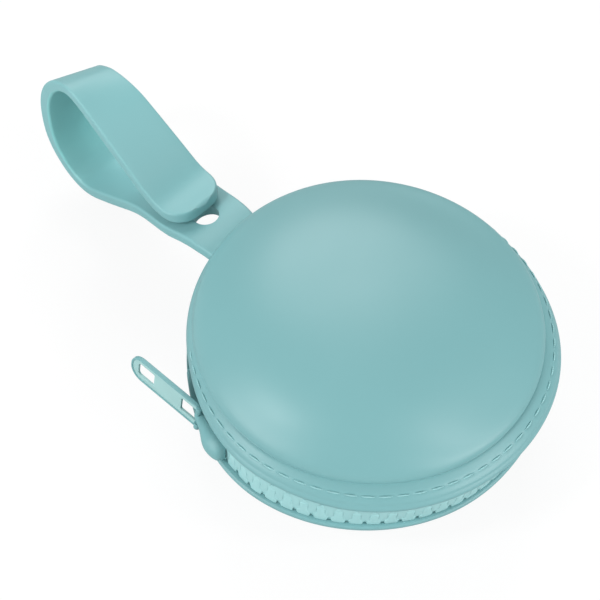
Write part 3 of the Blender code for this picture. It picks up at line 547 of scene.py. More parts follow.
def dome_rows(radius, rise, top, rows, angle=None):
    """A quarter ellipse from its top down to the crease, its rows closer near the crease,
    cut level at the height top. With the angles given it carries the lid's settling."""
    a = math.pi / 2 * np.linspace(1.0, 0.0, rows)[:, None] ** ROW_CROWDING
    height = np.minimum(rise * np.sin(a), top)
    if angle is not None:
        height = height + lid_settling(np.cos(a), angle)
    return radius * np.cos(a), FLANGE_HEIGHT + height + 0 * radius


def rim_shift(angle, upper_share):
    """The soft rims are not truly round: how far each stands out of the circle, mixed
    between the lower rim (0) and the upper rim (1) and smoothed over a few degrees."""
    turn = np.degrees(angle)
    turn = np.where(turn < SHIFT_ANGLES[0], turn + 360.0, turn)
    lower, upper = (
        sum(np.interp(turn + s, SHIFT_ANGLES, shift) / len(SMOOTHING) for s in SMOOTHING)
        for shift in (LOWER_SHIFT, UPPER_SHIFT)
    )
    return mixed(upper_share, lower, upper)


def edge_shift(angle, height, lid):
    """The rim's shift, full over its lower half and faded out at the crease."""
    fade = smooth_step((FLANGE_HEIGHT - height) / SHIFT_FADE)
    return rim_shift(angle, 1.0 if lid else 0.0) * fade


def edge_rows(angle, lid):
    """The flange from the crease to the rim: the front section and the hinge section mixed."""
    front = curve_through(FRONT_EDGE, EDGE_STEPS)
    hinge = curve_through(HINGE_EDGE, EDGE_STEPS)
    share = flange_share(angle)
    radius, height = (
        hinge[:, k, None] * (1 - share) + front[:, k, None] * share for k in (0, 1)
    )
    return radius + edge_shift(angle, height, lid), height


half_turn = np.radians([90.0, 270.0])
print("rim radius at the hinge and in front:", rim_radius(half_turn), "mm")

# %% [markdown]
# The seam presses the skin down. Each stitch lies in its own short trough, and the skin
# swells a little between one needle hole and the next. The troughs are part of the surface,
# not painted, so that they catch the light from every side. Where the dome meets the flange
# a fine groove runs round.

# %% Troughs, groove and the two skins
STITCH_PITCH = 3.9
STITCH_LENGTH = 3.1
STITCH_START = math.radians(142.0)
STITCH_END = math.radians(396.0)
TROUGH_DEPTH = 0.15
TROUGH_WIDTH = 0.36
BETWEEN_STITCHES = 0.25
WINDOW_EASE = 0.06
GROOVE_DEPTH = 0.13
GROOVE_WIDTH = 0.2
FACE_BEND = 0.54
FACE_LEAN = 1.6
SHIFT_LEAN = 0.4
TAPE_SEAM_HEIGHT = 3.6


def stitch_centres():
    """Angles of the stitches: even steps of one pitch along the seam."""
    step = STITCH_PITCH / SEAM_RADIUS
    return np.arange(STITCH_START + step / 2, STITCH_END, step)


def seam_radius_at(angle, lid):
    """The seam's radius: the fifth corner of the two edge sections, mixed and shifted."""
    seam = mixed(flange_share(angle), HINGE_EDGE[4][0], SEAM_RADIUS)
    return seam + edge_shift(angle, SEAM_HEIGHT, lid)


def stitch_window(angle):
    """1 in the middle of a stitch and 0 between two of them."""
    step = STITCH_PITCH / SEAM_RADIUS
    phase = np.abs((angle - STITCH_START) / step % 1.0 - 0.5)
    half = STITCH_LENGTH / STITCH_PITCH / 2
    inside = (angle > STITCH_START) & (angle < STITCH_END)
    return smooth_step((half + WINDOW_EASE - phase) / (2 * WINDOW_EASE)) * inside


def press_seam(radius, height, angle, lid):
    """Moves the skin in along its section's normal: stitch troughs and the dome's groove."""
    share = flange_share(angle)
    along = np.gradient(np.stack([radius, height]), axis=1)
    length = np.maximum(np.hypot(*along), 1e-6)
    normal = np.stack([-along[1], along[0]]) / length
    normal = normal * np.sign(normal[0] + normal[1])
    to_seam = np.hypot(radius - seam_radius_at(angle, lid), height - SEAM_HEIGHT)
    trough = TROUGH_DEPTH * np.exp(-((to_seam / TROUGH_WIDTH) ** 2))
    trough = trough * mixed(stitch_window(angle), BETWEEN_STITCHES, 1.0)
    trough = trough * smooth_step(share * 4)
    to_groove = np.hypot(radius - dome_radius(angle), height - FLANGE_HEIGHT)
    groove = GROOVE_DEPTH * share * np.exp(-((to_groove / GROOVE_WIDTH) ** 2))
    depth = trough + groove
    return radius - depth * normal[0], height - depth * normal[1]


def skin_grid(lid):
    """The whole skin of one half: over the dome, down the flange, back up the inside."""
    angle = full_turn(CASE_COLUMNS)[None, :]
    crease = dome_radius(angle)
    shift = rim_shift(angle, 1.0 if lid else 0.0)
    lid_angle = angle if lid else None
    top = DOME_RISE if lid else BASE_RISE
    outer = dome_rows(crease, DOME_RISE, top, DOME_ROWS, lid_angle)
    edge = edge_rows(angle, lid)
    radius, height = (np.vstack([a[:-1], b]) for a, b in zip(outer, edge))
    radius, height = press_seam(radius, height, angle, lid)
    inner_rise = top - WALL
    inner = dome_rows(crease - WALL, inner_rise, inner_rise, DOME_ROWS // 2, lid_angle)
    face = rim_radius(angle) - RIM_FACE + shift
    top_face = face - FACE_LEAN * flange_share(angle) - SHIFT_LEAN * shift
    back = [0.0 * face, FACE_BEND + 0 * face, TAPE_SEAM_HEIGHT + 0 * face]
    radius = np.vstack([radius, face, face, top_face, inner[0][::-1]])
    height = np.vstack([height, *back, inner[1][::-1]])
    return round_points(radius, angle, half_height(height, lid))


for side, body, lid in HALVES:
    skin = grid_object(f"{side}_skin", skin_grid(lid), skin_finish, caps=False, sharp=55)
    hand_over(skin, f"{side}_shell", body)

# %% [markdown]
# ## The stitches
#
# A lockstitch shows as a row of short dashes that dive into the skin at each needle hole.
# One stitch is a thin rounded rod: a circle carried along a flat arch, thick in the middle
# and drawn in at both ends. The row is the same rod placed at each pitch, all in one mesh.

# %% Seam stitches
THREAD_RADIUS = 0.21
THREAD_LIFT = 0.20
THREAD_DIVE = 0.62
THREAD_TAPER = 0.93
THREAD_TIP = 0.02
STITCH_ROWS = 7
STITCH_SIDES = 8
SEAM_SLOPE = (0.62, 0.78)


def rods_along(angles, lid):
    """A rod for each angle: a point runs along the seam, the rod's height over the skin is
    a half wave, and a circle round that point shrinks towards both ends."""
    t = np.linspace(-1.0, 1.0, STITCH_ROWS)
    turn = full_turn(STITCH_SIDES)
    angle = angles[:, None] + t[None, :] * STITCH_LENGTH / 2 / SEAM_RADIUS
    lift = THREAD_LIFT * (np.cos(t * math.pi / 2) - THREAD_DIVE)
    swell = THREAD_RADIUS * np.sqrt(np.maximum(1 - THREAD_TAPER * t**2, THREAD_TIP))
    out = lift[None, :, None] + swell[None, :, None] * np.cos(turn)
    side = swell[None, :, None] * np.sin(turn) + 0 * out
    outward, upward = SEAM_SLOPE
    radius = seam_radius_at(angle, lid)[..., None] + outward * out + upward * side
    height = SEAM_HEIGHT + upward * out - outward * side
    return round_points(radius, angle[..., None], half_height(height, lid))


for side, body, lid in HALVES:
    rods = rods_along(stitch_centres(), lid)
    stitches = grid_object(f"{side}_stitches", rods, thread_finish, sharp=80)
    hand_over(stitches, f"{side}_seam_thread", body)
print("stitches in each seam:", len(stitch_centres()))

# %% [markdown]
# ## Tapes
#
# Behind the teeth each half carries a woven tape, sewn to the inside of its flange. It is a
# section carried round the axis again, with the same radii as the skins, so it follows the
# flange as it tapers. Past both ends of the chain the two tapes meet.

# %% Zip tapes
TAPE_THICKNESS = 0.4
TAPE_SETBACK = 2.3
TAPE_EDGE = 1.4
TAPE_LEAN = 1.7
TAPE_SHARES = 0.15, 0.85
TAPE_BEND = 0.3
TAPE_COLUMNS = 360
TAPE_START, TAPE_END = 91.5 + HINGE_HALF_ANGLE, 448.5 - HINGE_HALF_ANGLE
TAPE_MEET = 0.15
MEET_BEFORE, MEET_AFTER = (160.0, 157.0), (382.5, 385.5)
TRUE_TO_SHIFTED = (177.0, 189.0)


def swept(section, start, end, count, *settings):
    """Carries a closed section round the axis. section(angle, *settings) gives lists of
    radii and heights, one array for each corner, and the result is columns of the band."""
    angle = np.linspace(math.radians(start), math.radians(end), count)
    radius, height = section(angle, *settings)
    radius = np.stack([r + 0 * angle for r in radius], 1)
    height = np.stack([h + 0 * angle for h in height], 1)
    return round_points(radius, angle[:, None], height)


def zip_shift(angle, upper_share):
    """The zip follows the two rims as far as the slider, where the chain runs true."""
    return rim_shift(angle, upper_share) * share_between(np.degrees(angle), *TRUE_TO_SHIFTED)


def zip_radius(angle, upper_share):
    """The rim's radius and the zip's shift, which grows from the lower rim's to the upper's."""
    return rim_radius(angle) + zip_shift(angle, upper_share)


def tape_edge(angle):
    """The free edge's distance from the middle: past the chain's ends the tapes meet."""
    place = np.degrees(angle)
    meeting = share_between(place, *MEET_BEFORE) + share_between(place, *MEET_AFTER)
    return mixed(meeting, TAPE_EDGE, TAPE_MEET)


def tape_section(angle, lid):
    """Down the tape's outer face, which bends once and then leans in, and up its inner one."""
    outer = zip_radius(angle, TAPE_SHARES[lid]) - TAPE_SETBACK
    lean = TAPE_LEAN * flange_share(angle) + SHIFT_LEAN * zip_shift(angle, 1.0 if lid else 0.0)
    inner = outer - TAPE_THICKNESS
    low = tape_edge(angle) - ZIP_GAP / 2
    radii = [outer, outer, outer, outer - lean, inner - lean, inner, inner, inner]
    heights = [low, FACE_BEND * TAPE_BEND, FACE_BEND, TAPE_SEAM_HEIGHT]
    return radii, [half_height(h, lid) for h in heights + heights[::-1]]


for side, body, lid in HALVES:
    band = swept(tape_section, TAPE_START, TAPE_END, TAPE_COLUMNS, lid)
    tape = grid_object(f"{side}_tape", band, tape_finish)
    hand_over(tape, f"{side}_zip_tape", body)

# %% [markdown]
# ## Linings
#
# Inside the domes lies a thin cloth lining: a smaller dome within each skin, with a hem
# a little below the crease.

# %% Linings
LINING_THICKNESS = 0.8
LINING_GAP = 0.3
LINING_COLUMNS = 160
LINING_ROWS = 22
HEM_DROP = 0.9


def lining_grid(lid):
    """Two quarter ellipses, one inside the other, joined at the lining's free edge."""
    angle = full_turn(LINING_COLUMNS)[None, :]
    radius = dome_radius(angle) - WALL - LINING_GAP
    rise = (DOME_RISE if lid else BASE_RISE) - WALL - LINING_GAP
    rows = []
    for inset in (0.0, LINING_THICKNESS):
        top = rise - inset
        dome = dome_rows(radius - inset, top, top, LINING_ROWS, angle if lid else None)
        hem = radius - inset, FLANGE_HEIGHT - HEM_DROP + 0 * radius
        rows.append([np.vstack(pair) for pair in zip(dome, hem)])
    outer, inner = rows
    r, h = (np.vstack([a, b[::-1]]) for a, b in zip(outer, inner))
    return round_points(r, angle, half_height(h, lid))


for side, body, lid in HALVES:
    cloth = grid_object(f"{side}_cloth", lining_grid(lid), lining_finish, caps=False)
    hand_over(cloth, f"{side}_lining", body)

# %% [markdown]
# ## The zip's teeth
#
# The zip is a coarse moulded one. Each tooth has a wide foot on the tape and a head that
# fits between two heads of the other row, so that the closed zip reads as one pale band
# with small notches along both of its edges. A tooth is a rounded block whose width changes
# with its height: a superellipse section, which is a square with its corners eased, carried
# from the foot to the tip of the head. Two rails join the teeth of a row, one close behind
# their faces and one deeper between their feet, and all of it is one piece.

# %% Zip teeth
TOOTH_PITCH = 4.0
TOOTH_SETBACK = 0.8
TOOTH_THICKNESS = 1.2
TOOTH_RADIUS = RIM_RADIUS - TOOTH_SETBACK
FOOT_WIDTH = 3.5
# Heights from and to, setback behind the teeth's face and thickness of the two rails
RAILS = [((0.03, 2.5), 0.08, 0.9), ((2.3, 3.8), 0.50, 0.5)]
FIRST_TOOTH = 170.1
LAST_TOOTH = 378.9
TOOTH_SIDES = 16
TOOTH_POWER = 9.0
RAIL_SIDES = 12
RAIL_POWER = 6.0
RAIL_STEPS = 220

# Height over the zip's middle, share of the foot's width, share of the thickness
TOOTH_LEVELS = [
    (3.86, 0.68, 0.70), (3.76, 0.78, 0.94), (3.40, 0.88, 1.0), (2.60, 0.96, 1.0),
    (2.1, 0.92, 1.0), (1.85, 0.66, 1.0), (1.6, 0.56, 1.0), (-0.9, 0.56, 1.0),
    (-1.1, 0.53, 0.95), (-1.22, 0.45, 0.8),
]


def eased_square(turn, power):
    """Points of a superellipse: |x|^power + |y|^power = 1, a square with eased corners."""
    c, s = np.cos(turn), np.sin(turn)
    return np.sign(c) * np.abs(c) ** (2 / power), np.sign(s) * np.abs(s) ** (2 / power)


def tooth_face(angle, rise):
    """Radius of the teeth's outer face at a height over the zip's middle line: the face
    leans from the lower rim to the upper one."""
    return zip_radius(angle, 0.5 + rise / ZIP_GAP) - TOOTH_SETBACK


def tooth_row(upper):
    """Teeth at every pitch, the rows half a pitch apart, facing each other."""
    step = TOOTH_PITCH / TOOTH_RADIUS
    count = int(math.radians(LAST_TOOTH - FIRST_TOOTH) / step)
    sign, shift = (1, 1.0) if upper else (-1, 0.5)
    centres = math.radians(FIRST_TOOTH) + (np.arange(count) + shift) * step
    level, width, depth = np.array(TOOTH_LEVELS).T[:, None, :, None]
    along, out = eased_square(full_turn(TOOTH_SIDES), TOOTH_POWER)
    angle = centres[:, None, None] + FOOT_WIDTH / 2 * width * along / TOOTH_RADIUS
    rise = sign * level + 0 * angle
    radius = tooth_face(angle, rise) - TOOTH_THICKNESS / 2 * (1 - depth * out)
    return round_points(radius, angle, MIDDLE + rise)


def rail_section(angle, upper, levels, setback, thickness):
    """A band behind the teeth's face, between two heights over the zip's middle line."""
    along, out = eased_square(full_turn(RAIL_SIDES), RAIL_POWER)
    rises = (1 if upper else -1) * (np.mean(levels) + (levels[1] - levels[0]) / 2 * along)
    middle = setback + thickness / 2
    radii = [tooth_face(angle, r) - middle + thickness / 2 * o for r, o in zip(rises, out)]
    return radii, [MIDDLE + r for r in rises]


def join(name, pieces):
    """Several pieces as one. Each keeps its material."""
    mesh = bpy.data.meshes.new(name)
    bm = bmesh.new()
    for piece in pieces:
        material = piece.data.materials[0]
        if material.name not in mesh.materials:
            mesh.materials.append(material)
        numbers = [mesh.materials.find(material.name)] * len(piece.data.polygons)
        piece.data.polygons.foreach_set("material_index", numbers)
        bm.from_mesh(piece.data)
        bpy.data.objects.remove(piece, do_unlink=True)
    bm.to_mesh(mesh)
    bm.free()
    return show(name, mesh)


for side, body, lid in HALVES:
    parts = [grid_object(f"{side}_teeth_only", tooth_row(lid), teeth_finish, sharp=50)]
    for rail in RAILS:
        band = swept(rail_section, FIRST_TOOTH, LAST_TOOTH, RAIL_STEPS, lid, *rail)
        parts.append(grid_object(f"{side}_rail", band, teeth_finish))
    hand_over(join(f"{side}_teeth", parts), f"{side}_zip_teeth", body)
print("teeth in each row:", len(tooth_row(True)))

# %% [markdown]
# ## The hinge band
#
# At the back the two skins are joined by a smooth band of the same material. It belongs to
# neither half and is given no body here. The band is a thin upright strip with many rows.

# %% Hinge band
HINGE_THICKNESS = 0.9
HINGE_INSET = 0.05
HINGE_GAP = 0.02
BAND_ROWS = 12
BAND_STEPS = 90
BAND_START, BAND_END = 90.3 - HINGE_HALF_ANGLE, 89.7 + HINGE_HALF_ANGLE


def hinge_section(angle):
    """Up the outside of the band and down its inside."""
    heights = np.linspace(LOWER_RIM + HINGE_GAP, UPPER_RIM - HINGE_GAP, BAND_ROWS)
    radii = [HINGE_RADIUS - HINGE_INSET] * BAND_ROWS
    radii += [HINGE_RADIUS - HINGE_THICKNESS] * BAND_ROWS
    return radii, [*heights, *heights[::-1]]


band = swept(hinge_section, BAND_START, BAND_END, BAND_STEPS)
hinge_band = grid_object("hinge_band", band, skin_finish)
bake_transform(hinge_band)
hand_over(hinge_band, "hinge_strip")

# %% [markdown]
# ## The strap
#
# The strap is one moulded band. It leaves the case at the hinge, sags away, turns up in a
# wide loop and comes back over itself to a round tip, which a stud holds down. Its route is
# a curve in the middle plane, and its section is a flat bar with round edges. The bend is
# tighter on one side, so the section leans there. Two pieces share the one surface: the run
# that stays with the case, and the loop, which is given no body here.

# %% The strap's sizes and route
STRAP_ROUTE = [
    (38.9, 0.0), (43.0, 0.0), (46.5, 0.1), (50.0, -0.3), (53.5, -1.2), (57.2, -2.5),
    (61.0, -3.6), (64.5, -4.3), (68.0, -5.2), (72.0, -7.1), (77.5, -10.7), (82.5, -13.8),
    (87.2, -16.2), (91.0, -16.9), (94.6, -15.8), (97.6, -13.3), (100.2, -9.8), (101.9, -5.3),
    (102.6, 0.5), (102.5, 5.5), (101.6, 9.9), (99.9, 13.7), (97.3, 16.8), (93.8, 18.2),
    (90.2, 17.6), (86.5, 16.0), (82.0, 13.6), (77.0, 10.6), (71.5, 7.2), (67.0, 4.4),
    (63.0, 2.6), (59.0, 2.3), (53.4, 3.5),
]
OUTERMOST = 18
SPLIT = 9
STRAP_STEPS = 10
STRAP_WIDTH = 16.0
STRAP_THICKNESS = 3.2
STRAP_EDGE = 0.65
STRAP_CORNER_POINTS = 7
EDGE_SHARE = 0.8
SLOPE_STEP = 0.2
TIP_LENGTH = 7.6
TIP_POWER = 2.4
LEAN = 2.5
LEAN_PLACES = (82.0, 97.0)
# What each side has beyond half the width, at places along the run and along the return
RUN_PLACES = [43.6, 48.0, 54.0, 58.0, 61.0, 68.0, 76.0, 86.0, 94.0, 103.0]
RUN_RIGHT = [0.0, 0.6, 1.1, 1.6, 1.4, 0.5, -0.2, -0.6, -1.0, -1.05]
RUN_LEFT = [0.0, 0.4, 0.55, 0.75, 0.6, 0.2, -0.2, -0.6, -1.0, -1.05]
RETURN_PLACES = [53.0, 68.0, 86.0, 94.0, 103.0]
RETURN_EXTRA = [0.2, 0.15, -0.6, -1.0, -1.05]
route_length = np.linalg.norm(np.diff(curve_through(STRAP_ROUTE, 10), axis=0), axis=1).sum()
print("the strap's route is", round(route_length, 1), "mm long")

# %% [markdown]
# The surface is worked out row by row along the route. A row is the bar's section, made
# narrower towards the tip, and set up square to the route.

# %% The strap's surface
def bar_section(points):
    """A flat bar of half width 1 and half height 1 in corner units: four quarter circles
    joined by straight faces, as (side, round side, height, round height) factors. The
    lower half is the upper one with its signs turned."""
    quarter = np.linspace(0, math.pi / 2, points)
    c, s = np.cos(quarter), np.sin(quarter)
    flat = np.linspace(1, -1, points + 2)[1:-1]
    one, none = np.ones(points), np.zeros(points)
    upper_half = [one, flat, -one], [c - 1, none, 1 - s], [one] * 3, [s - 1, none, c - 1]
    return [np.concatenate([*row, *(-part for part in row)]) for row in upper_half]


def strap_route():
    """The route's points and the normals there, which point into the loop."""
    route = curve_through(STRAP_ROUTE, STRAP_STEPS)
    tangent = np.gradient(route, axis=0)
    tangent /= np.linalg.norm(tangent, axis=1)[:, None]
    return route, np.stack([-tangent[:, 1], tangent[:, 0]], 1)


def strap_lean(across, distance):
    """How far the bend leans: a slope across the strap, faded in towards the bend."""
    return LEAN * (2 * across / STRAP_WIDTH + 0.5) * share_between(distance, *LEAN_PLACES)


def strap_grid():
    """Rows along the strap, columns round its section."""
    route, normal = strap_route()
    stretch = np.linalg.norm(np.diff(route, axis=0), axis=1)
    length = np.concatenate([[0.0], np.cumsum(stretch)])
    to_end = length[-1] - length
    row = np.arange(len(route))
    back = np.interp(route[:, 0], RETURN_PLACES, RETURN_EXTRA)
    sides = []
    for extra in (RUN_RIGHT, RUN_LEFT):
        run = np.interp(route[:, 0], RUN_PLACES, extra)
        sides.append(STRAP_WIDTH / 2 + np.where(row < OUTERMOST * STRAP_STEPS, run, back))
    half = np.stack(sides, 1)
    reach = np.clip(1 - to_end / TIP_LENGTH, 0.0, 0.999)
    half = half * ((1 - reach**TIP_POWER) ** (1 / TIP_POWER))[:, None]
    ease = np.clip(to_end, 0.0, STRAP_EDGE)
    drawn = STRAP_EDGE - np.sqrt(STRAP_EDGE**2 - (STRAP_EDGE - ease) ** 2)
    thick = STRAP_THICKNESS / 2 - drawn
    edge = np.minimum(STRAP_EDGE, np.minimum(EDGE_SHARE * half[:, 1], thick))
    side, round_side, high, round_high = bar_section(STRAP_CORNER_POINTS)
    half = np.where(side > 0, half[:, :1], half[:, 1:])
    across = half * side + edge[:, None] * round_side
    through = thick[:, None] * high + edge[:, None] * round_high
    through = through + strap_lean(across, route[:, :1])
    y = route[:, 0, None] + normal[:, 0, None] * through
    z = MIDDLE + route[:, 1, None] + normal[:, 1, None] * through
    return np.stack([across, y, z], -1)


def route_place(distance):
    """Height and slope of the strap's lower run at a distance from the case's axis."""
    route = curve_through(STRAP_ROUTE[: OUTERMOST - 3], STRAP_STEPS)
    height = np.interp(distance, route[:, 0], route[:, 1])
    ahead = np.interp(distance + SLOPE_STEP, route[:, 0], route[:, 1])
    return height, math.atan2(ahead - height, SLOPE_STEP)


def turned(profile, count, distance):
    """Turns a profile of (radius, height) about an axis square to the strap's lower run, by
    the circle formula for each of the profile's points."""
    height, slope = route_place(distance)
    radius, lift = np.asarray(profile).T[:, :, None]
    turn = full_turn(count)
    along, rise = turn_pair(radius * np.sin(turn), lift, slope)
    return np.stack([radius * np.cos(turn), distance + along, MIDDLE + height + rise], -1)


strap = strap_grid()
print("strap rows:", strap.shape[0], "points round it:", strap.shape[1])

# %% [markdown]
# The holes go right through the lower run. A hole in a swept surface is the one place where
# a Boolean is simpler than a formula: a round punch, set square to the strap at each hole,
# is subtracted and the result is kept as the mesh.

# %% The strap's pieces
HOLE_RADIUS = 3.4
HOLE_FLARE = 0.12
HOLE_PLACES = (60.6, 52.6)
PUNCH_REACH = 5.0
PUNCH_SIDES = 64
# Where the painted bounce light goes: offsets into the loop and places along the strap, in mm
BOUNCE_PAINT_OFFSETS = (0.9, 1.4)
BOUNCE_PAINT_PLACES = (84.0, 104.0)


def round_punch(distance):
    """A round punch square to the strap, a little wider below: two circles, capped."""
    lifts = (-PUNCH_REACH, PUNCH_REACH)
    profile = [(HOLE_RADIUS - HOLE_FLARE * lift, lift) for lift in lifts]
    return grid_object("punch", turned(profile, PUNCH_SIDES, distance), strap_finish)


def final_mesh(piece):
    """A copy of a piece's mesh as its modifiers, or its curve's settings, make it."""
    bpy.context.view_layer.update()
    graph = bpy.context.evaluated_depsgraph_get()
    return bpy.data.meshes.new_from_object(piece.evaluated_get(graph))


def punch_holes(piece, places):
    """Subtracts a punch at each place and keeps the evaluated mesh."""
    for distance in places:
        punch = round_punch(distance)
        cut = piece.modifiers.new("hole", "BOOLEAN")
        cut.object = punch
        cut.operation = "DIFFERENCE"
        cut.solver = "EXACT"
        mesh = final_mesh(piece)
        piece.modifiers.clear()
        piece.data = mesh
        bpy.data.objects.remove(punch, do_unlink=True)
    shade(piece.data, SHARP)


def mark_painted_bounce_light(piece):
    """Marks the face that looks into the loop, which takes a lighter tone as painted bounce
    light: each vertex's offset along the normal of the nearest point of the route, faded along it."""
    points = mesh_points(piece.data) - [0.0, 0.0, MIDDLE]
    route, normal = strap_route()
    gaps = points[:, None, 1:] - route[None, :, :]
    nearest = np.argmin((gaps**2).sum(-1), axis=1)
    offset = (gaps[np.arange(len(points)), nearest] * normal[nearest]).sum(-1)
    offset = offset - strap_lean(points[:, 0], points[:, 1])
    share = share_between(offset, *BOUNCE_PAINT_OFFSETS) * share_between(points[:, 1], *BOUNCE_PAINT_PLACES)
    # The share of painted bounce light, kept on the piece as the attribute "inside"
    piece.data.attributes.new("inside", "FLOAT", "POINT").data.foreach_set("value", share)


split_row = SPLIT * STRAP_STEPS
strap_run = grid_object("strap_run", strap[: split_row + 1], strap_finish, sharp=60)
punch_holes(strap_run, HOLE_PLACES)
mark_painted_bounce_light(strap_run)
hand_over(strap_run, "strap_lower_run", "base")

strap_loop = grid_object("strap_loop", strap[split_row:], strap_finish, sharp=60)
mark_painted_bounce_light(strap_loop)
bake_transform(strap_loop)
hand_over(strap_loop, "strap_upper_run")

# %% [markdown]
# ## The stud
#
# A mushroom stud under the tip goes through the first hole and spreads below it. It is a
# profile turned about its own axis, which stands square to the lower run.

# %% The stud
STUD_NECK = 2.2
STUD_HEAD = 3.9
STUD_SIDES = 40
stud_profile = [
    (0.0, 4.05), (1.9, 4.05), (STUD_NECK, 3.9), (STUD_NECK, 1.0), (STUD_NECK, -1.9),
    (STUD_NECK + 0.2, -2.04), (STUD_HEAD - 0.4, -2.1), (STUD_HEAD, -2.45), (3.2, -3.0),
    (1.8, -3.36), (0.0, -3.45),
]
stud_grid = turned(curve_through(stud_profile, 4), STUD_SIDES, HOLE_PLACES[0])
stud = grid_object("stud", stud_grid, strap_finish, caps=False)
hand_over(stud, "strap_button", "strap_end")

# %% [markdown]
# ## The slider
#
# The slider clasps the chain with a plate inside, a post between the two rows and an outer
# plate. What shows is the outer one, a smooth drop that narrows to a neck round the tab's
# pin. It is a row of half round sections, each with its own width and height, with a smooth
# curve through their sizes. The slider is drawn in its own frame, x out of the case, y
# towards the hinge and z down, and then turned to its parking place.

# %% The slider
PARK_ANGLE = 169.1
PIN_OUT = 43.4
PIN_ALONG = 6.7
INNER_PLATE = (42.0, -1.3, -3.6), (42.6, 4.0, 3.6)
POST = (42.4, 0.7, -1.0), (44.4, 3.9, 1.0)
BLOCK_LEVELS = [-1.0, -0.96, -0.8, 0.8, 0.96, 1.0]
BLOCK_SCALES = [0.86, 0.96, 1.0, 1.0, 0.96, 0.86]
BLOCK_POWER = 8.0
BLOCK_SIDES = 24
ARCH_POINTS = 25
FOOT_POINTS = 7
ARCH_POWER = 2.25
# Place along the slider, foot and crown of the section over the case's axis, half width
DROP_SECTIONS = [
    (-4.95, 44.30, 44.60, 0.10), (-4.88, 43.90, 45.30, 1.30), (-4.55, 43.50, 45.88, 2.20),
    (-3.90, 43.35, 46.30, 2.85), (-2.80, 43.35, 46.62, 3.25), (-1.30, 43.35, 46.78, 3.42),
    (0.20, 43.35, 46.62, 3.35), (1.60, 43.35, 46.12, 3.05), (3.00, 43.20, 45.45, 2.55),
    (4.20, 42.90, 44.95, 2.05), (5.20, 42.60, 44.62, 1.70), (6.20, 42.35, 44.35, 1.55),
    (7.10, 42.25, 44.12, 1.50), (7.60, 42.45, 43.90, 1.38), (7.86, 42.85, 43.60, 1.05),
    (7.92, 43.10, 43.35, 0.35),
]


def slider_place(points):
    """From the slider's own frame to its parking place on the zip."""
    out, along, below = np.moveaxis(points, -1, 0)
    x, y = turn_pair(out, -along, math.radians(PARK_ANGLE))
    return np.stack([x, y, MIDDLE - below], -1)


def drop_grid():
    """Each section: a superellipse arch from side to side and a flat foot back."""
    place, foot, crown, half = curve_through(DROP_SECTIONS, 4).T[..., None]
    arch_z, arch_x = eased_square(np.linspace(0, math.pi, ARCH_POINTS), ARCH_POWER)
    z = np.concatenate([arch_z, np.linspace(-1, 1, FOOT_POINTS + 2)[1:-1]])
    x = np.concatenate([np.maximum(arch_x, 0.0), np.zeros(FOOT_POINTS)])
    return slider_place(np.stack([foot + (crown - foot) * x, place + 0 * x, half * z], -1))


def block_grid(low, high):
    """A small block with eased corners: superellipse sections from one end to the other."""
    low, high = np.array(low), np.array(high)
    middle, half = (low + high) / 2, (high - low) / 2
    level, scale = np.array([BLOCK_LEVELS, BLOCK_SCALES])[..., None]
    x, z = eased_square(full_turn(BLOCK_SIDES), BLOCK_POWER)
    points = np.stack([scale * x, level + 0 * x, scale * z], -1)
    return slider_place(middle + half * points)


# Painted shade: the drop takes the darker copy of the enamel
drop = grid_object("slider_drop", drop_grid(), shaded_enamel_finish, sharp=50)
hand_over(drop, "slider_cap", "slider")
inner_plate = grid_object("inner_plate", block_grid(*INNER_PLATE), shaded_enamel_finish)
post = grid_object("post", block_grid(*POST), shaded_enamel_finish)
hand_over(join("slider_core", [inner_plate, post]), "slider_body", "slider")

# %% [markdown]
# ## The pull tab
#
# The tab is a die-cast plate with a rounded far end and a raised rim round a thinner middle.
# It has a window near its far end, and at the slider it forks into two rails that hold the
# pin. A flat outline with holes is what Blender's own 2D curves are good at: filled,
# thickened and given round edges in one go, then kept as a mesh.

# %% The pull tab's outlines
TAB_LENGTH = 21.5
TAB_HALF = 3.95
TAB_ROUND = 3.5
TAB_THICKNESS = 1.05
TAB_SHEET = 0.65
TAB_INSET = 0.3
TAB_LEAN = 7.0
TAB_EDGE = 0.16
TAB_REST_ANGLE = 12.0
FORK_END = 5.5
FORK_HALF = 2.15
WINDOW = (14.2, 19.2)
FORK_START = -0.6
CORNER = 0.35
FAR_CORNER = 0.9
RIM_WIDTH = 0.55
SHEET_SETBACK = 0.3
EYE_RADIUS = 0.85
EYE_EASE = 0.15
EYE_END = 0.88
EYE_SIDES = 24
TAB_SHARP = 35


def far_end(x1, half, radius, points=10):
    """The rounded end of a bar, from its upper side round to its lower side."""
    turn = np.radians(np.linspace(90, 0, points))
    corner = [x1 - radius, half - radius]
    upper = corner + radius * np.stack([np.cos(turn), np.sin(turn)], 1)
    return np.vstack([upper, upper[::-1] * [1.0, -1.0]])


def fork_outline(start, outer, inner):
    """A fork: round the outside of its end and back round the inside, each of the two
    given as how far it reaches, its half width and the radius of its corners."""
    return np.vstack([
        [[start, outer[1]]], far_end(*outer), [[start, -outer[1]], [start, -inner[1]]],
        far_end(*inner)[::-1], [[start, inner[1]]],
    ])


def window_outline():
    """A closed window with small corners towards the slider and rounder ones far away."""
    near = far_end(-WINDOW[0], FORK_HALF, CORNER)[::-1] * [-1.0, 1.0]
    return np.vstack([far_end(WINDOW[1], FORK_HALF, FAR_CORNER), near])


def drawn_in(setback):
    """The tab's far end, drawn in: how far it reaches, its half width, its corner radius."""
    return TAB_LENGTH - setback, TAB_HALF - setback, TAB_ROUND - setback


slot_edge = (FORK_END, FORK_HALF, CORNER)
sheet_outline = fork_outline(FORK_START, drawn_in(SHEET_SETBACK), slot_edge)
rim_outline = fork_outline(FORK_START, drawn_in(0.0), drawn_in(RIM_WIDTH))
print("outlines:", len(sheet_outline), "and", len(rim_outline), "points")

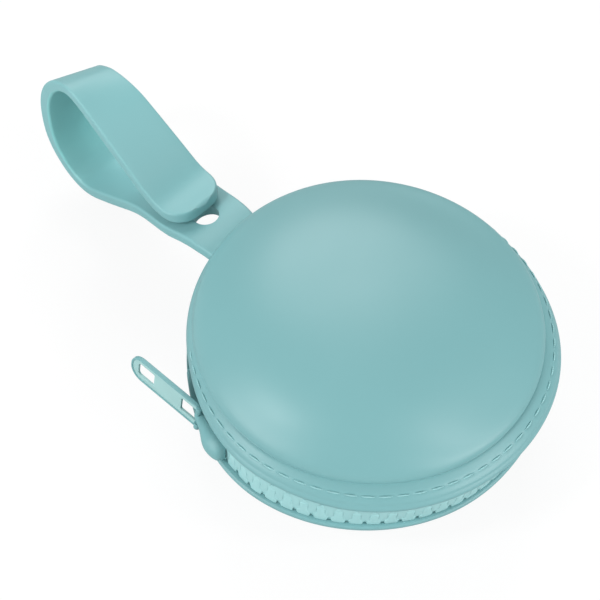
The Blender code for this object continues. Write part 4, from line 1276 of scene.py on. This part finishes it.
# %% [markdown]
# The tab has play on its pin, so it leans a little with its upper edge towards the case.
# The thin middle, the raised rim and the two eyes on the pin become one piece.

# %% The pull tab
def tab_place(points):
    """Plate points (along, across, through), leant about the plate's length and then turned
    about the pin, to the tab's resting place at the slider."""
    along, across, through = np.moveaxis(points, -1, 0)
    across, through = turn_pair(across, through, -math.radians(TAB_LEAN))
    out, ahead = turn_pair(along, through, math.radians(90.0 - TAB_REST_ANGLE))
    return slider_place(np.stack([PIN_OUT + out, PIN_ALONG + ahead, across], -1))


def tab_plate(name, outlines, thickness, edge, finish):
    """A filled flat curve with holes, extruded both ways and bevelled, as a placed mesh."""
    curve = bpy.data.curves.new(name, "CURVE")
    curve.dimensions = "2D"
    curve.fill_mode = "BOTH"
    curve.extrude = (thickness / 2 - edge) * MM
    curve.offset = -edge * MM
    curve.bevel_depth = edge * MM
    curve.bevel_resolution = 2
    for outline in outlines:
        spline = curve.splines.new("POLY")
        spline.points.add(len(outline) - 1)
        flat = np.column_stack([outline * MM, np.zeros(len(outline)), np.ones(len(outline))])
        spline.points.foreach_set("co", flat.ravel())
        spline.use_cyclic_u = True
    holder = show(name, curve)
    mesh = final_mesh(holder)
    points = tab_place(mesh_points(mesh) + [0.0, 0.0, TAB_INSET])
    faces = [list(polygon.vertices) for polygon in mesh.polygons]
    bpy.data.objects.remove(holder, do_unlink=True)
    bpy.data.meshes.remove(mesh)
    return mesh_object(name, points, faces, finish, TAB_SHARP)


def eyes_grid():
    """Two short round barrels on the pin, one at the end of each rail."""
    turn = full_turn(EYE_SIDES)
    ends = np.array([FORK_HALF, FORK_HALF + EYE_EASE, TAB_HALF - EYE_EASE, TAB_HALF])[:, None]
    radius = EYE_RADIUS * np.array([EYE_END, 1.0, 1.0, EYE_END])[:, None]
    x, y = radius * np.cos(turn), radius * np.sin(turn)
    barrels = [np.stack([x, side * ends + 0 * x, y], -1) for side in (-1, 1)]
    return tab_place(np.stack(barrels))


# Painted light: the middle sheet takes the lighter copy of the enamel, the rim and the eyes the
# darker one
sheet = tab_plate("tab_sheet", [sheet_outline, window_outline()], TAB_SHEET, 0.1, lit_enamel_finish)
raised = tab_plate("tab_rim", [rim_outline], TAB_THICKNESS, TAB_EDGE, shaded_enamel_finish)
eyes = grid_object("tab_eyes", eyes_grid(), shaded_enamel_finish, sharp=TAB_SHARP)
tab = join("pull_tab", [sheet, raised, eyes])
shade(tab.data, TAB_SHARP)
hand_over(tab, "puller_tab", "puller")

# %% [markdown]
# ## Small pieces kept from the solid model
#
# The stops and the pin have their real shape already in the frame. They only need the
# finish of the pieces round them.

# %% Finishes on the solid pieces
for node, finish in (
    ("puller_pin", shaded_enamel_finish),
    ("upper_top_stop", teeth_finish), ("lower_top_stop", teeth_finish),
    ("bottom_stop", teeth_finish),
):
    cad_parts[node].data.materials.clear()
    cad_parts[node].data.materials.append(finish)
    print(node, "has the finish", finish.name)

# %% [markdown]
# ## Floor and light
#
# The photograph is a plain studio picture on white. Five soft lamps make the highlights on
# the dome: three broad ones low on the left, low on the right and behind, and two small ones
# high up. An even white world fills the rest, such as the inside of the strap's loop. The
# floor is a pale sheet that keeps the soft contact shadow.

# %% Floor and world
FLOOR_SIZE = 3.0
FLOOR_SEEN = 0.95
FLOOR_BOUNCE = 0.5
FLOOR_GLOW = 0.88
FILL = 0.34


def grey(value):
    return (value, value, value, 1.0)


def add_floor():
    """A square sheet. The camera sees it pale and glowing, other rays see plain grey."""
    finish = Finish("floor", Roughness=0.9, Specular_IOR_Level=0.0)
    seen = finish.node("ShaderNodeLightPath")
    finish.connect(Base_Color=finish.blend_colours(seen, grey(FLOOR_BOUNCE), grey(FLOOR_SEEN)))
    glow = finish.node("ShaderNodeEmission", Strength=1.0)
    mix = finish.tree.nodes.new("ShaderNodeMixShader")
    shaded = Wire(finish.tree, finish.shader.outputs[0])
    for slot, value in zip(mix.inputs, (seen * FLOOR_GLOW, shaded, glow)):
        feed(finish.tree, slot, value)
    output = finish.tree.nodes["Material Output"]
    finish.tree.links.new(mix.outputs[0], output.inputs["Surface"])
    mesh = bpy.data.meshes.new("floor")
    half = FLOOR_SIZE / 2
    corners = [(-half, -half, 0), (half, -half, 0), (half, half, 0), (-half, half, 0)]
    mesh.from_pydata(corners, [], [(0, 1, 2, 3)])
    mesh.materials.append(finish.material)
    show("floor", mesh)


def set_world():
    """White for the camera, and a softer fill for every other ray."""
    world = bpy.data.worlds.new("studio")
    scene.world = world
    world.use_nodes = True
    background = world.node_tree.nodes["Background"]
    background.inputs["Color"].default_value = grey(1.0)
    ray = world.node_tree.nodes.new("ShaderNodeLightPath")
    seen = Wire(world.node_tree, ray.outputs["Is Camera Ray"])
    feed(world.node_tree, background.inputs["Strength"], 1.0 - (1.0 - seen) * (1.0 - FILL))


add_floor()
set_world()
print("floor of", FLOOR_SIZE, "m, fill light", FILL)

# %% [markdown]
# A lamp is a square sheet of light at a given distance, turned to face the upper rim.

# %% Lamps
LAMP_DISTANCE = 0.9
# Direction (right, away, up) in the camera's level frame, size and strength
LAMPS = {
    "lamp_low_left": ((-0.802, -0.524, 0.286), 0.59, 4.85),
    "lamp_low_right": ((0.824, -0.494, 0.277), 0.57, 5.3),
    "lamp_back": ((-0.082, 0.785, 0.614), 0.56, 4.1),
    "lamp_high_left": ((-0.61, -0.318, 0.725), 0.16, 2.2),
    "lamp_high_right": ((0.675, -0.211, 0.707), 0.16, 1.35),
}


def soft_lamp(name, direction, size, strength):
    """A square lamp at a direction from the rim's centre, aimed at it."""
    lamp = bpy.data.lights.new(name, "AREA")
    lamp.shape = "SQUARE"
    lamp.size = size
    lamp.energy = strength
    aim = level_turn(np.array(direction), HEADING)
    aim /= np.linalg.norm(aim)
    side = np.cross([0.0, 0.0, 1.0], aim)
    side /= np.linalg.norm(side)
    where = rim_centre * MM + aim * LAMP_DISTANCE
    stand(show(name, lamp), side, np.cross(aim, side), aim, where)


for name, settings in LAMPS.items():
    soft_lamp(name, *settings)
    print(name, "is", settings[1], "m wide, at", settings[2], "W")
scene.view_settings.view_transform = "Standard"
